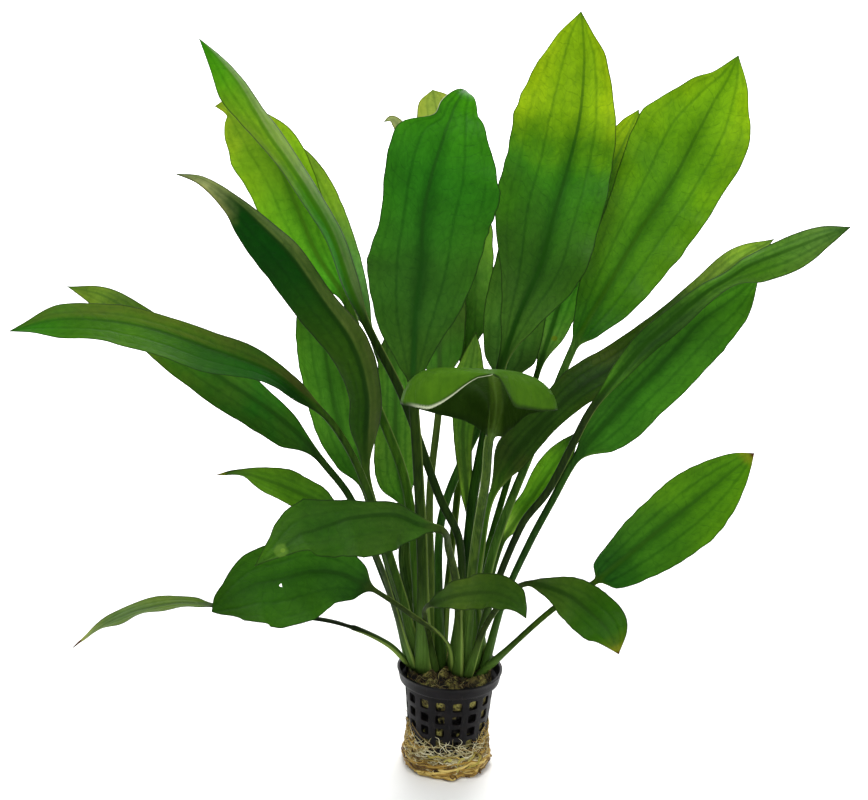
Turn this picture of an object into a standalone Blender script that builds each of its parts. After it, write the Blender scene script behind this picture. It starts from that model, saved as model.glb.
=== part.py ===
"""Potted amazon sword plant: broad stalked leaves rising from two crowns in a small black net pot.

Units are metres and +Z is up. The origin is the middle of the flat underside of the root mat, +X is to
the right and +Y is away from a person who looks at the plant from the front.

Every leaf, its stalk and blade grown as one piece, is a lofted solid: a stalk of eight sides that flattens
into a lens-shaped blade. Lengths in the tables below are millimetres.
"""
import math
from dataclasses import dataclass
from typing import Callable

import bmesh
import bpy
import numpy as np

MM = 0.001
GAP = 0.3

# Net pot: a tapering cage of plastic with a flared rim.
POT_COLUMNS = 16
POT_HOLE_SHARE = 0.56
POT_WALL = 1.2
POT_FLOOR_Z = 3.7
POT_FLOOR_RADIUS = 19.2
POT_WALL_TOP_Z = 46.8
POT_WALL_TOP_RADIUS = 23.2
POT_LEDGE_Z = 47.8
POT_LEDGE_RADIUS = 26.0
POT_RIM_Z = 54.0
POT_RIM_RADIUS = 27.5
HOLE_ROWS = 5
HOLE_FIRST_Z = 9.0
HOLE_HEIGHT = 5.0
HOLE_PITCH = 7.5

# Growing medium: a plug of mineral wool that fills the pot to a few millimetres below the rim.
WOOL_TOP_Z = 48.6
WOOL_SIDES = 24
WOOL_LUMP = 1.1

# Root mat: a cup of matted roots round the lower third of the pot, flat where it rests.
MAT_SIDES = 24
MAT_FLAT_RADIUS = 17.0
MAT_WIDE_RADIUS = 22.8
MAT_WIDE_Z = 4.5
MAT_LIP_RADIUS = 21.7
MAT_TOP_Z = 15.0
MAT_TOP_WAVE = 2.2

# Crowns: the two short rootstocks that the leaves grow from.
CROWN_TOP_Z = 52.4
CROWN_RADIUS = 10.0
CROWN_SIDES = 16
LEFT_CROWN = (-12.6, 3.5)
RIGHT_CROWN = (9.4, 0.0)
INNER_RING = 4.0
OUTER_RING = 8.8

# Leaves.
STALK_RINGS = 6
BLADE_RINGS = 10
BLADE_THICKNESS = 0.7
KEEL_DEPTH = 0.8
STALK_FLARE = 0.15
STALK_TAPER = 0.18
LEANING_SIDES = (0, 1, 4, 5)
TOWARDS_VIEWER = (0.0, -0.97, 0.26)


@dataclass(frozen=True)
class Leaf:
    """One leaf: where its stalk is seated, the way the stalk takes and the shape of its blade.

    stalk rows are x, y, z on the stalk above its seat. blade rows are x, y, z on the midrib with the
    half-widths to its left and right, from neck to tip. face is the way the seen side looks, and lift is
    how far the left and right margins stand forward of the midrib at the widest part.
    """

    name: str
    crown: tuple
    ring: float
    bearing: float
    stalk: tuple
    blade: tuple
    stalk_width: float = 4.6
    face: tuple = TOWARDS_VIEWER
    lift: tuple = (2.0, 2.0)


LEAVES = (
    Leaf(
        name="leaf_tall_centre",
        crown=RIGHT_CROWN,
        ring=INNER_RING,
        bearing=150.0,
        stalk=((9, 1, 90), (14, 6, 150)),
        blade=(
            (18, 10, 208, 2.5, 2.5),
            (26, 14, 237, 9, 11),
            (36, 20, 262, 22, 21),
            (42, 25, 288, 30, 23),
            (48, 30, 312, 31, 21.5),
            (52, 33, 334, 32, 18),
            (53, 36, 361, 23, 11),
            (51.5, 37, 375, 13, 4.5),
            (50, 38, 385, 0, 0),
        ),
        stalk_width=5.0,
        lift=(3.0, 3.0),
    ),
    Leaf(
        name="leaf_tall_right",
        crown=RIGHT_CROWN,
        ring=INNER_RING,
        bearing=60.0,
        stalk=((15, 6, 90), (22, 8, 125), (36, 12, 167)),
        blade=(
            (55, 18, 222, 2.5, 3.5),
            (69, 24, 249, 14, 17),
            (86, 33, 280, 21, 25),
            (102, 40, 306, 29, 27.5),
            (112, 45, 327, 29.5, 26.5),
            (120, 48, 344, 18, 21),
            (125.5, 49, 354, 9.5, 12),
            (130.5, 50, 367, 0, 0),
        ),
        stalk_width=5.0,
        lift=(3.0, 3.0),
    ),
    Leaf(
        name="leaf_dark_centre",
        crown=LEFT_CROWN,
        ring=OUTER_RING,
        bearing=262.0,
        stalk=((-15, -12, 90), (-17, -18, 129), (-21, -26, 179)),
        blade=(
            (-24, -32, 212, 3, 3),
            (-24, -34, 225, 7, 6),
            (-24, -36, 246, 13.5, 16),
            (-22, -38, 270, 26, 23),
            (-22, -38, 291, 19, 30),
            (-19, -38, 311, 20.5, 32),
            (-15, -36, 329, 22, 22),
            (-12.5, -34, 335, 15, 19),
            (-10, -31, 341, 8, 16),
            (-7.5, -26, 346, 4, 10),
            (-5, -17, 348, 0, 0),
        ),
        stalk_width=6.0,
        lift=(3.0, 3.0),
    ),
    Leaf(
        name="leaf_behind_centre",
        crown=LEFT_CROWN,
        ring=OUTER_RING,
        bearing=25.0,
        stalk=((-3, 14, 90), (1, 32, 151)),
        blade=(
            (1, 44, 200, 2.5, 2.5),
            (0, 50, 228, 12, 13),
            (-4, 57, 262, 17, 18),
            (-9, 64, 292, 17, 18),
            (-14, 69, 316, 14, 15),
            (-18, 73, 332, 8, 8),
            (-21, 74, 343, 0, 0),
        ),
    ),
    Leaf(
        name="leaf_curled_tip",
        crown=LEFT_CROWN,
        ring=INNER_RING,
        bearing=40.0,
        stalk=((-11, 12, 90), (-14, 20, 140)),
        blade=(
            (-11, 25, 190, 2.5, 2.5),
            (-12, 30, 214, 12, 12),
            (-15, 36, 255, 15, 14),
            (-22, 40, 290, 14, 12),
            (-30, 39, 314, 8, 5.5),
            (-35, 37, 325, 4, 3),
            (-40, 33, 330, 2, 2),
            (-44, 28, 329, 0, 0),
        ),
    ),
    Leaf(
        name="leaf_grey_folded",
        crown=RIGHT_CROWN,
        ring=OUTER_RING,
        bearing=160.0,
        stalk=((4, -1, 85), (2, -5, 125), (-9, -8, 149), (-30, -8, 202)),
        blade=(
            (-46, -8, 232, 2.5, 3),
            (-56, -8, 253, 3.5, 5),
            (-65, -7, 277, 4, 5),
            (-77, -6, 297, 5, 5),
            (-88, -3, 312, 5, 5.5),
            (-96, -1, 322, 6, 6),
            (-104, 1, 334, 9, 4.5),
            (-112, 4, 346, 11, 3.5),
            (-121, 6, 356, 6, 2.5),
            (-131, 8, 366, 0, 0),
        ),
        stalk_width=5.0,
        lift=(-7.0, -9.0),
    ),
    Leaf(
        name="leaf_behind_folded",
        crown=LEFT_CROWN,
        ring=OUTER_RING,
        bearing=57.0,
        stalk=((-11, 20, 90), (-17, 31, 126), (-33, 43, 177)),
        blade=(
            (-47, 46, 216, 2.5, 2.5),
            (-60, 50, 248, 10, 8),
            (-69, 53, 270, 12, 9.5),
            (-79, 55, 290, 11, 10),
            (-88, 54, 305, 8, 8),
            (-95, 55, 320, 0, 0),
        ),
        stalk_width=4.0,
    ),
    Leaf(
        name="leaf_upper_left",
        crown=LEFT_CROWN,
        ring=INNER_RING,
        bearing=110.0,
        stalk=((-19, 10, 100), (-27, 14, 150), (-46, 20, 196)),
        blade=(
            (-58, 22, 237, 2.5, 2.5),
            (-75, 24, 263, 14, 10),
            (-83, 26, 280, 18, 13),
            (-93, 27, 302, 19, 15),
            (-101, 27, 316, 18.5, 14),
            (-110, 25, 327, 12, 8),
            (-118, 22, 334, 5, 4),
            (-125, 18, 334, 0, 0),
        ),
    ),
    Leaf(
        name="leaf_dark_left",
        crown=LEFT_CROWN,
        ring=INNER_RING,
        bearing=190.0,
        stalk=((-24, -3, 80), (-31, -9, 105), (-39, -14, 138)),
        blade=(
            (-45, -18, 161, 2.5, 2.5),
            (-46, -22, 183, 8, 6),
            (-46, -26, 205, 9, 7),
            (-53, -29, 229, 12, 8),
            (-68, -31, 251, 14, 6),
            (-83, -33, 272, 14.5, 6),
            (-96, -34, 285, 12, 4.5),
            (-108, -36, 296, 6.5, 3),
            (-122, -38, 305, 2.5, 2),
            (-134, -42, 308, 0, 0),
        ),
        lift=(-5.0, -8.0),
    ),
    Leaf(
        name="leaf_long_left",
        crown=LEFT_CROWN,
        ring=INNER_RING,
        bearing=268.0,
        stalk=((-21, -6, 75), (-26, -13, 98), (-47, -28, 165)),
        blade=(
            (-61, -36, 193, 2.5, 2.5),
            (-76, -41, 208, 6, 5),
            (-91, -45, 220, 10, 7),
            (-115, -50, 230, 17, 9),
            (-139, -53, 238, 16.5, 9.5),
            (-161, -55, 242, 14.5, 10),
            (-184, -56, 242, 11.5, 9),
            (-206, -56, 236, 0, 0),
        ),
        face=(0.0, -0.5, 0.85),
    ),
    Leaf(
        name="leaf_second_left",
        crown=LEFT_CROWN,
        ring=OUTER_RING,
        bearing=160.0,
        stalk=((-27, 2, 78), (-33, -3, 97), (-53, -8, 146)),
        blade=(
            (-67, -12, 166, 4, 2.5),
            (-79, -13, 180, 11, 4),
            (-93, -14, 192, 14, 7),
            (-114, -13, 205, 15, 10),
            (-136, -12, 219, 13, 8),
            (-156, -9, 233, 11, 6.5),
            (-174, -5, 243, 8.5, 5),
            (-194, 0, 246.5, 0, 0),
        ),
        face=(0.0, -0.7, 0.7),
    ),
    Leaf(
        name="leaf_upright_left",
        crown=LEFT_CROWN,
        ring=OUTER_RING,
        bearing=124.0,
        stalk=((-26, 7, 80), (-32, 4, 101)),
        blade=(
            (-46, -2, 148, 2.5, 2.5),
            (-53, -1, 163, 8, 8),
            (-60, 0, 181, 12, 12),
            (-65, 2, 201, 13, 13),
            (-69, 4, 221, 13.5, 12),
            (-73, 5, 240, 9.5, 8),
            (-75, 6, 254, 0, 0),
        ),
    ),
    Leaf(
        name="leaf_small_left",
        crown=LEFT_CROWN,
        ring=OUTER_RING,
        bearing=228.0,
        stalk=((-24, -10, 72), (-30, -17, 95), (-40, -27, 126)),
        blade=(
            (-54, -31, 143, 2, 2),
            (-66, -35, 153, 8, 6.5),
            (-78, -39, 160, 10, 9),
            (-89, -42, 165, 8, 7),
            (-101, -44, 169, 3, 3),
            (-114, -48, 169.5, 0, 0),
        ),
        stalk_width=3.0,
        face=(0.0, -0.65, 0.75),
    ),
    Leaf(
        name="leaf_broad_left",
        crown=RIGHT_CROWN,
        ring=OUTER_RING,
        bearing=232.0,
        stalk=((3, -16, 85), (1, -28, 111), (-4, -42, 135)),
        blade=(
            (-7, -56, 149, 2, 2),
            (-18, -60, 153, 6.5, 4),
            (-30, -68, 160, 16.5, 5.5),
            (-48, -76, 161, 19.5, 8),
            (-56, -79, 159, 17, 11),
            (-65, -84, 157, 13.5, 15),
            (-71, -87, 156, 9.5, 14),
            (-79, -91, 150, 3.5, 10),
            (-90, -94, 143, 0, 0),
        ),
        face=(0.1, -0.8, 0.6),
    ),
    Leaf(
        name="leaf_low_left",
        crown=RIGHT_CROWN,
        ring=OUTER_RING,
        bearing=196.0,
        stalk=((-3, -20, 77), (-21, -34, 97)),
        blade=(
            (-37, -46, 113, 2, 2),
            (-46, -51, 120, 9, 7.5),
            (-56, -56, 126, 15.5, 13),
            (-68, -61, 128, 21.5, 17),
            (-81, -66, 126, 22.5, 18.5),
            (-93, -69, 124, 20, 17.5),
            (-104, -72, 118, 12.5, 10),
            (-109, -74, 114, 4.5, 4),
            (-112, -75, 112, 0, 0),
        ),
        stalk_width=3.0,
        face=(0.0, -0.88, 0.48),
    ),
    Leaf(
        name="leaf_edge_left",
        crown=LEFT_CROWN,
        ring=OUTER_RING,
        bearing=194.0,
        stalk=((-33, -8, 69), (-56, -19, 84), (-81, -26, 90.5)),
        blade=(
            (-114, -31, 96, 2, 2),
            (-126, -33, 97.5, 4, 4),
            (-141, -34, 97, 7, 7),
            (-154, -35, 94, 7.5, 7.5),
            (-165, -36, 89, 6, 6),
            (-177, -37, 82, 3, 3),
            (-186, -38, 74, 0, 0),
        ),
        stalk_width=3.2,
        face=(0.0, -0.15, 1.0),
        lift=(1.0, 1.0),
    ),
    Leaf(
        name="leaf_arching_front",
        crown=RIGHT_CROWN,
        ring=INNER_RING,
        bearing=240.0,
        stalk=((8, -12, 90), (7, -22, 131), (11, -42, 170)),
        blade=(
            (12, -56, 196, 2.5, 2.5),
            (14, -68, 216, 16, 19),
            (12, -84, 231, 31, 29),
            (10, -102, 239, 35, 31),
            (9, -120, 243, 22, 19),
            (9, -136, 245, 0, 0),
        ),
        stalk_width=5.4,
        face=(0.0, 0.3, 1.0),
        lift=(-16.4, -14.5),
    ),
    Leaf(
        name="leaf_far_right",
        crown=RIGHT_CROWN,
        ring=INNER_RING,
        bearing=330.0,
        stalk=((20, -8, 90), (31, -14, 138), (50, -25, 183)),
        blade=(
            (60, -32, 203, 2, 2),
            (70, -38, 221, 4, 4),
            (81, -43, 238, 5.5, 6),
            (92, -47, 251, 6, 7),
            (106, -52, 266, 6.5, 6),
            (122, -57, 279, 7, 8),
            (140, -62, 288.5, 7, 8.5),
            (152, -66, 295, 4.5, 5),
            (162, -70, 300, 0, 0),
        ),
        lift=(-5.0, -5.0),
    ),
    Leaf(
        name="leaf_long_right",
        crown=RIGHT_CROWN,
        ring=OUTER_RING,
        bearing=16.0,
        stalk=((18.5, 0, 95), (19, -5, 125)),
        blade=(
            (18, -8, 156, 2.5, 2.5),
            (27, -10, 174, 11, 8),
            (41, -13, 193, 8.5, 8.5),
            (57, -14, 210, 11, 10.5),
            (76, -14, 224, 10, 13),
            (93, -13, 241, 7, 12),
            (111, -11, 258, 5, 10),
            (129, -7, 273, 5, 7),
            (145, -4, 284, 0, 0),
        ),
        face=(-0.2, -0.7, 0.65),
    ),
    Leaf(
        name="leaf_wide_right",
        crown=RIGHT_CROWN,
        ring=OUTER_RING,
        bearing=340.0,
        stalk=((25, -6, 95), (35, -10, 128), (44, -16, 153)),
        blade=(
            (54, -22, 173, 2, 3),
            (62, -25, 187, 6.5, 11),
            (71, -28, 200, 8.5, 15.5),
            (81, -31, 214, 10, 16),
            (89, -33, 224, 10, 16.5),
            (99, -36, 238, 12, 16.5),
            (107, -37, 249, 12, 17),
            (120, -38, 260, 9, 11.5),
            (132, -38, 272, 0, 0),
        ),
    ),
    Leaf(
        name="leaf_low_right",
        crown=RIGHT_CROWN,
        ring=OUTER_RING,
        bearing=304.0,
        stalk=((24, -8, 63), (50, -16, 95)),
        blade=(
            (69, -20, 113, 2, 6),
            (77, -21, 119, 9, 12.5),
            (84.5, -22, 127, 13, 15),
            (97, -25, 136, 17, 16),
            (108.5, -27, 151, 19, 17.5),
            (118.5, -28, 162, 18, 15),
            (127, -30, 172, 13.5, 10.5),
            (133.5, -31, 179, 8, 5.5),
            (139.5, -32, 186, 0, 0),
        ),
        stalk_width=3.6,
        lift=(3.0, 3.0),
    ),
    Leaf(
        name="leaf_small_right",
        crown=RIGHT_CROWN,
        ring=OUTER_RING,
        bearing=268.0,
        stalk=((16, -22, 86), (26, -38, 111)),
        blade=(
            (33.5, -50, 122, 2, 2),
            (43, -58, 124, 4.5, 4.5),
            (53, -66, 123, 9.5, 9.5),
            (62, -75, 119, 11.5, 11),
            (69.5, -83, 114, 10, 7),
            (74, -90, 106, 0, 0),
        ),
        stalk_width=3.4,
    ),
    Leaf(
        name="leaf_low_centre",
        crown=LEFT_CROWN,
        ring=OUTER_RING,
        bearing=305.0,
        stalk=((-11, -14, 75), (-14, -30, 94)),
        blade=(
            (-13, -40, 104, 2, 2),
            (-4, -48, 112, 5, 5),
            (4, -54, 117, 7.5, 8),
            (16, -65, 123, 9, 9),
            (25, -74, 124, 9, 7),
            (30, -80, 122, 5.5, 3.5),
            (33.5, -85, 119, 0, 0),
        ),
        stalk_width=3.2,
        face=(0.0, -0.8, 0.6),
    ),
    Leaf(
        name="leaf_behind_tall",
        crown=RIGHT_CROWN,
        ring=OUTER_RING,
        bearing=88.0,
        stalk=((15, 17, 100), (32, 40, 166)),
        blade=(
            (40, 54, 198, 2.5, 2.5),
            (46, 60, 219, 9, 8),
            (53, 68, 243, 14, 12),
            (66, 80, 281, 14, 13),
            (78, 88, 310, 12, 11),
            (86, 93, 328, 6, 4.5),
            (89, 95, 336, 0, 0),
        ),
        stalk_width=4.0,
    ),
    Leaf(
        name="leaf_young_centre",
        crown=RIGHT_CROWN,
        ring=OUTER_RING,
        bearing=52.0,
        stalk=((18, 9, 89),),
        blade=(
            (24, 11, 118, 1.5, 1.5),
            (31, 13, 131, 5.5, 4),
            (39, 15, 144, 6, 5),
            (46, 17, 155, 8, 5),
            (54, 19, 167, 6.5, 5),
            (61, 21, 178, 0, 0),
        ),
        stalk_width=3.0,
    ),
    Leaf(
        name="leaf_upright_behind",
        crown=LEFT_CROWN,
        ring=OUTER_RING,
        bearing=90.0,
        stalk=((-16, 15, 80), (-20, 20, 105)),
        blade=(
            (-25, 24, 128, 3, 2),
            (-30, 29, 146, 12, 8),
            (-33, 34, 167, 11, 11),
            (-34, 39, 190, 9, 12),
            (-36, 43, 210, 7.5, 7.5),
            (-37, 45, 226, 0, 0),
        ),
        stalk_width=4.0,
    ),
    Leaf(
        name="leaf_small_behind",
        crown=RIGHT_CROWN,
        ring=OUTER_RING,
        bearing=124.0,
        stalk=((4, 9, 80), (4, 9, 105)),
        blade=(
            (4, 8, 130, 2, 2),
            (2, 8, 152, 5, 4.5),
            (1.5, 10, 176, 7, 7),
            (3, 14, 202, 8, 8),
            (5, 18, 217, 4.5, 4.5),
            (6, 20, 228, 0, 0),
        ),
        stalk_width=3.0,
    ),
    Leaf(
        name="leaf_dark_behind",
        crown=LEFT_CROWN,
        ring=OUTER_RING,
        bearing=345.0,
        stalk=((-7, 6, 90), (-7, 12, 133), (9, 24, 175)),
        blade=(
            (19, 30, 192, 2.5, 2.5),
            (23, 35, 211, 12, 14),
            (26, 39, 235, 16, 16),
            (29, 43, 259, 14.5, 15),
            (32, 46, 284, 12, 13),
            (33, 48, 304, 8, 9),
            (33, 50, 320, 0, 0),
        ),
    ),
)


@dataclass(frozen=True)
class Finish:
    """Colour, roughness and metallic value of one surface."""

    name: str
    colour: tuple
    roughness: float
    metallic: float = 0.0


FINISHES = {
    "leaf_bright": Finish("leaf_bright", (0.17, 0.36, 0.02), 0.5),
    "leaf_green": Finish("leaf_green", (0.04, 0.16, 0.015), 0.45),
    "leaf_dark": Finish("leaf_dark", (0.02, 0.07, 0.012), 0.45),
    "pot_plastic": Finish("pot_plastic", (0.012, 0.010, 0.011), 0.35),
    "mineral_wool": Finish("mineral_wool", (0.09, 0.07, 0.025), 0.9),
    "crown_tissue": Finish("crown_tissue", (0.20, 0.26, 0.08), 0.6),
    "root_tissue": Finish("root_tissue", (0.42, 0.29, 0.09), 0.75),
}

BRIGHT_LEAVES = (
    "leaf_tall_centre",
    "leaf_tall_right",
    "leaf_upper_left",
    "leaf_behind_folded",
    "leaf_behind_centre",
    "leaf_curled_tip",
    "leaf_behind_tall",
    "leaf_young_centre",
    "leaf_small_behind",
    "leaf_upright_behind",
)
DARK_LEAVES = (
    "leaf_dark_centre",
    "leaf_dark_left",
    "leaf_long_right",
    "leaf_dark_behind",
    "leaf_low_left",
    "leaf_broad_left",
    "leaf_low_centre",
)


def clear_scene() -> None:
    """Remove the objects and meshes that the scene starts with."""
    for item in list(bpy.data.objects):
        bpy.data.objects.remove(item, do_unlink=True)
    for mesh in list(bpy.data.meshes):
        bpy.data.meshes.remove(mesh)


def make_material(name: str, finish: Finish) -> bpy.types.Material:
    """Make one Principled material from a finish."""
    material = bpy.data.materials.new(name)
    material.use_nodes = True
    shader = material.node_tree.nodes["Principled BSDF"]
    shader.inputs["Base Color"].default_value = (*finish.colour, 1.0)
    shader.inputs["Roughness"].default_value = finish.roughness
    shader.inputs["Metallic"].default_value = finish.metallic
    return material


def add_object(name: str, points: np.ndarray, faces: list, finish: Finish) -> bpy.types.Object:
    """Link one mesh object made from points in millimetres and faces, with outward normals."""
    mesh = bpy.data.meshes.new(name)
    mesh.from_pydata([tuple(point) for point in points * MM], [], faces)
    mesh.validate()
    build = bmesh.new()
    build.from_mesh(mesh)
    bmesh.ops.recalc_face_normals(build, faces=build.faces)
    build.to_mesh(mesh)
    build.free()
    mesh.materials.append(make_material(name + "_finish", finish))
    item = bpy.data.objects.new(name, mesh)
    bpy.context.collection.objects.link(item)
    return item


def spline(rows: np.ndarray, samples: np.ndarray) -> np.ndarray:
    """Catmull-Rom curve through the rows, all columns at once.

    samples run from 0 at the first row to 1 at the last, measured by the length between rows.
    """
    steps = np.linalg.norm(np.diff(rows[:, :3], axis=0), axis=1)
    knots = np.concatenate([[0.0], np.cumsum(steps)])
    knots = knots / knots[-1]
    slopes = np.zeros_like(rows)
    slopes[1:-1] = (rows[2:] - rows[:-2]) / (knots[2:] - knots[:-2])[:, None]
    slopes[0] = (rows[1] - rows[0]) / (knots[1] - knots[0])
    slopes[-1] = (rows[-1] - rows[-2]) / (knots[-1] - knots[-2])
    index = np.clip(np.searchsorted(knots, samples, side="right") - 1, 0, len(rows) - 2)
    span = (knots[index + 1] - knots[index])[:, None]
    t = ((samples - knots[index])[:, None]) / span
    start = (2 * t**3 - 3 * t**2 + 1) * rows[index]
    leave = (t**3 - 2 * t**2 + t) * span * slopes[index]
    end = (-2 * t**3 + 3 * t**2) * rows[index + 1]
    arrive = (t**3 - t**2) * span * slopes[index + 1]
    return start + leave + end + arrive


def unit(vectors: np.ndarray) -> np.ndarray:
    """Scale each row to length one."""
    return vectors / np.linalg.norm(vectors, axis=-1, keepdims=True)


def smooth(t: np.ndarray) -> np.ndarray:
    """Ease from 0 to 1 with level ends."""
    t = np.clip(t, 0.0, 1.0)
    return t * t * (3 - 2 * t)


def seat_of(leaf: Leaf) -> tuple:
    """Point on top of the crown that the stalk starts from, and the way out from the crown there."""
    turn = math.radians(leaf.bearing)
    way = np.array([math.cos(turn), math.sin(turn), 0.0])
    seat = np.array([leaf.crown[0], leaf.crown[1], CROWN_TOP_Z + GAP]) + way * leaf.ring
    return seat, way


def leaf_sections(leaf: Leaf) -> np.ndarray:
    """Rings of eight points along one leaf, from the seat of its stalk to the tip of its blade."""
    seat, way = seat_of(leaf)
    stalk = np.array([seat, *leaf.stalk], float)
    blade = np.array(leaf.blade, float)
    half = leaf.stalk_width / 2
    stalk_rows = np.column_stack([stalk, np.full(len(stalk), half), np.full(len(stalk), half)])
    rows = np.vstack([stalk_rows, blade])
    lengths = np.linalg.norm(np.diff(rows[:, :3], axis=0), axis=1)
    neck = lengths[: len(stalk)].sum() / lengths.sum()
    along_stalk = np.linspace(0.0, neck, STALK_RINGS)
    along_blade = neck + (1 - neck) * np.linspace(0.0, 1.0, BLADE_RINGS + 1)[1:] ** 0.92
    samples = np.concatenate([along_stalk, along_blade])
    curve = spline(rows, samples)
    centre = curve[:, :3]
    tangent = unit(np.gradient(centre, samples, axis=0))
    tangent[0] = (0.0, 0.0, 1.0)
    part = np.clip((samples - neck) / (1 - neck), 0.0, 1.0)
    grown = smooth(samples / neck)[:, None]
    seen = unit(np.array(leaf.face, float))
    inward = way if way @ seen > 0 else -way
    face = unit(inward * (1 - grown) + seen * grown)
    across = unit(np.cross(tangent, face))
    up = np.cross(across, tangent)
    left = np.maximum(curve[:, 3], 0.3)[:, None]
    right = np.maximum(curve[:, 4], 0.3)[:, None]
    flat = smooth(part / 0.16)[:, None]
    base = 1 + STALK_FLARE * (1 - smooth(samples / (neck * 0.3)))[:, None]
    slim = 1 - STALK_TAPER * smooth(samples / neck)[:, None]
    stalk_half = half * base * slim
    left = left * flat + stalk_half * (1 - flat)
    right = right * flat + stalk_half * (1 - flat)
    thick = BLADE_THICKNESS / 2 * flat + 0.62 * stalk_half * (1 - flat)
    blade_keel = BLADE_THICKNESS / 2 + KEEL_DEPTH * (1 - part)[:, None]
    keel = blade_keel * flat + 0.75 * stalk_half * (1 - flat)
    rise = np.sin(np.pi * part**0.8)[:, None] ** 0.8
    lift_left = leaf.lift[0] * rise
    lift_right = leaf.lift[1] * rise
    middle = 0.5 * flat + 0.72 * (1 - flat)
    shoulder = thick * (1 - 0.3 * (1 - flat))
    sag = 0.25
    ring = [
        centre - across * left + up * lift_left,
        centre - across * left * middle + up * (lift_left * sag + shoulder),
        centre + up * thick,
        centre + across * right * middle + up * (lift_right * sag + shoulder),
        centre + across * right + up * lift_right,
        centre + across * right * middle + up * (lift_right * sag - shoulder),
        centre - up * keel,
        centre - across * left * middle + up * (lift_left * sag - shoulder),
    ]
    return np.stack(ring, axis=1)


def build_leaf(leaf: Leaf) -> bpy.types.Object:
    """Loft one leaf from its stalk seat to its tip.

    The upper and lower faces of the blade are split along matching diagonals, so the thin sheet never
    crosses itself where it is curled.
    """
    rings = leaf_sections(leaf)
    count, sides = rings.shape[:2]
    points = rings[:-1].reshape(-1, 3)
    tip = rings[-1].mean(axis=0)
    points = np.vstack([points, tip])
    faces = []
    for ring in range(count - 2):
        near = ring * sides
        far = near + sides
        for side in range(sides):
            after = (side + 1) % sides
            if side in LEANING_SIDES:
                faces.append((near + side, near + after, far + after))
                faces.append((near + side, far + after, far + side))
            else:
                faces.append((near + side, near + after, far + side))
                faces.append((near + after, far + after, far + side))
    last = (count - 2) * sides
    faces += [(last + side, last + (side + 1) % sides, len(points) - 1) for side in range(sides)]
    faces.append(tuple(range(sides - 1, -1, -1)))
    finish = "leaf_green"
    if leaf.name in BRIGHT_LEAVES:
        finish = "leaf_bright"
    if leaf.name in DARK_LEAVES:
        finish = "leaf_dark"
    return add_object(leaf.name, points, faces, FINISHES[finish])


def pot_radius(z: float) -> float:
    """Outer radius of the pot wall at a height."""
    share = (z - POT_FLOOR_Z) / (POT_WALL_TOP_Z - POT_FLOOR_Z)
    return POT_FLOOR_RADIUS + (POT_WALL_TOP_RADIUS - POT_FLOOR_RADIUS) * share


def build_pot() -> bpy.types.Object:
    """Cage of columns and bands with a floor and a flared rim, thickened inwards."""
    bands = [(POT_FLOOR_Z, POT_FLOOR_RADIUS)]
    for row in range(HOLE_ROWS):
        for z in (HOLE_FIRST_Z + row * HOLE_PITCH, HOLE_FIRST_Z + row * HOLE_PITCH + HOLE_HEIGHT):
            bands.append((z, pot_radius(z)))
    bands.append((POT_WALL_TOP_Z, POT_WALL_TOP_RADIUS))
    bands.append((POT_LEDGE_Z, POT_LEDGE_RADIUS))
    bands.append((POT_RIM_Z, POT_RIM_RADIUS))
    pitch = 2 * math.pi / POT_COLUMNS
    turns = []
    for column in range(POT_COLUMNS):
        middle = (column + 0.5) * pitch - math.pi / 2
        turns.append(middle - pitch * POT_HOLE_SHARE / 2)
        turns.append(middle + pitch * POT_HOLE_SHARE / 2)
    points = [(0.0, 0.0, POT_FLOOR_Z)]
    for z, radius in bands:
        points += [(radius * math.cos(turn), radius * math.sin(turn), z) for turn in turns]
    sides = len(turns)
    faces = [(0, 1 + (side + 1) % sides, 1 + side) for side in range(sides)]
    for band in range(len(bands) - 1):
        is_hole_row = band % 2 == 1 and band < 2 * HOLE_ROWS
        for side in range(sides):
            if is_hole_row and side % 2 == 0:
                continue
            low = 1 + band * sides
            after = (side + 1) % sides
            faces.append((low + side, low + after, low + sides + after, low + sides + side))
    pot = add_object("net_pot", np.array(points), faces, FINISHES["pot_plastic"])
    thicken = pot.modifiers.new("wall", "SOLIDIFY")
    thicken.thickness = POT_WALL * MM
    thicken.offset = -1.0
    thicken.use_even_offset = True
    return pot


def turned_body(profile: list, sides: int, shape: Callable) -> tuple:
    """Closed body from rings of points: profile rows are radius and height, ends closed to the axis."""
    turns = np.linspace(0.0, 2 * math.pi, sides, endpoint=False)
    rings = [shape(radius, z, turns) for radius, z in profile]
    points = np.vstack([*rings, [[0, 0, profile[0][1]]], [[0, 0, profile[-1][1]]]])
    low, high = len(points) - 2, len(points) - 1
    faces = []
    for ring in range(len(profile) - 1):
        for side in range(sides):
            near = ring * sides
            after = (side + 1) % sides
            faces.append((near + side, near + after, near + sides + after, near + sides + side))
    top = (len(profile) - 1) * sides
    faces += [(low, (side + 1) % sides, side) for side in range(sides)]
    faces += [(high, top + side, top + (side + 1) % sides) for side in range(sides)]
    return points, faces


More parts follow.
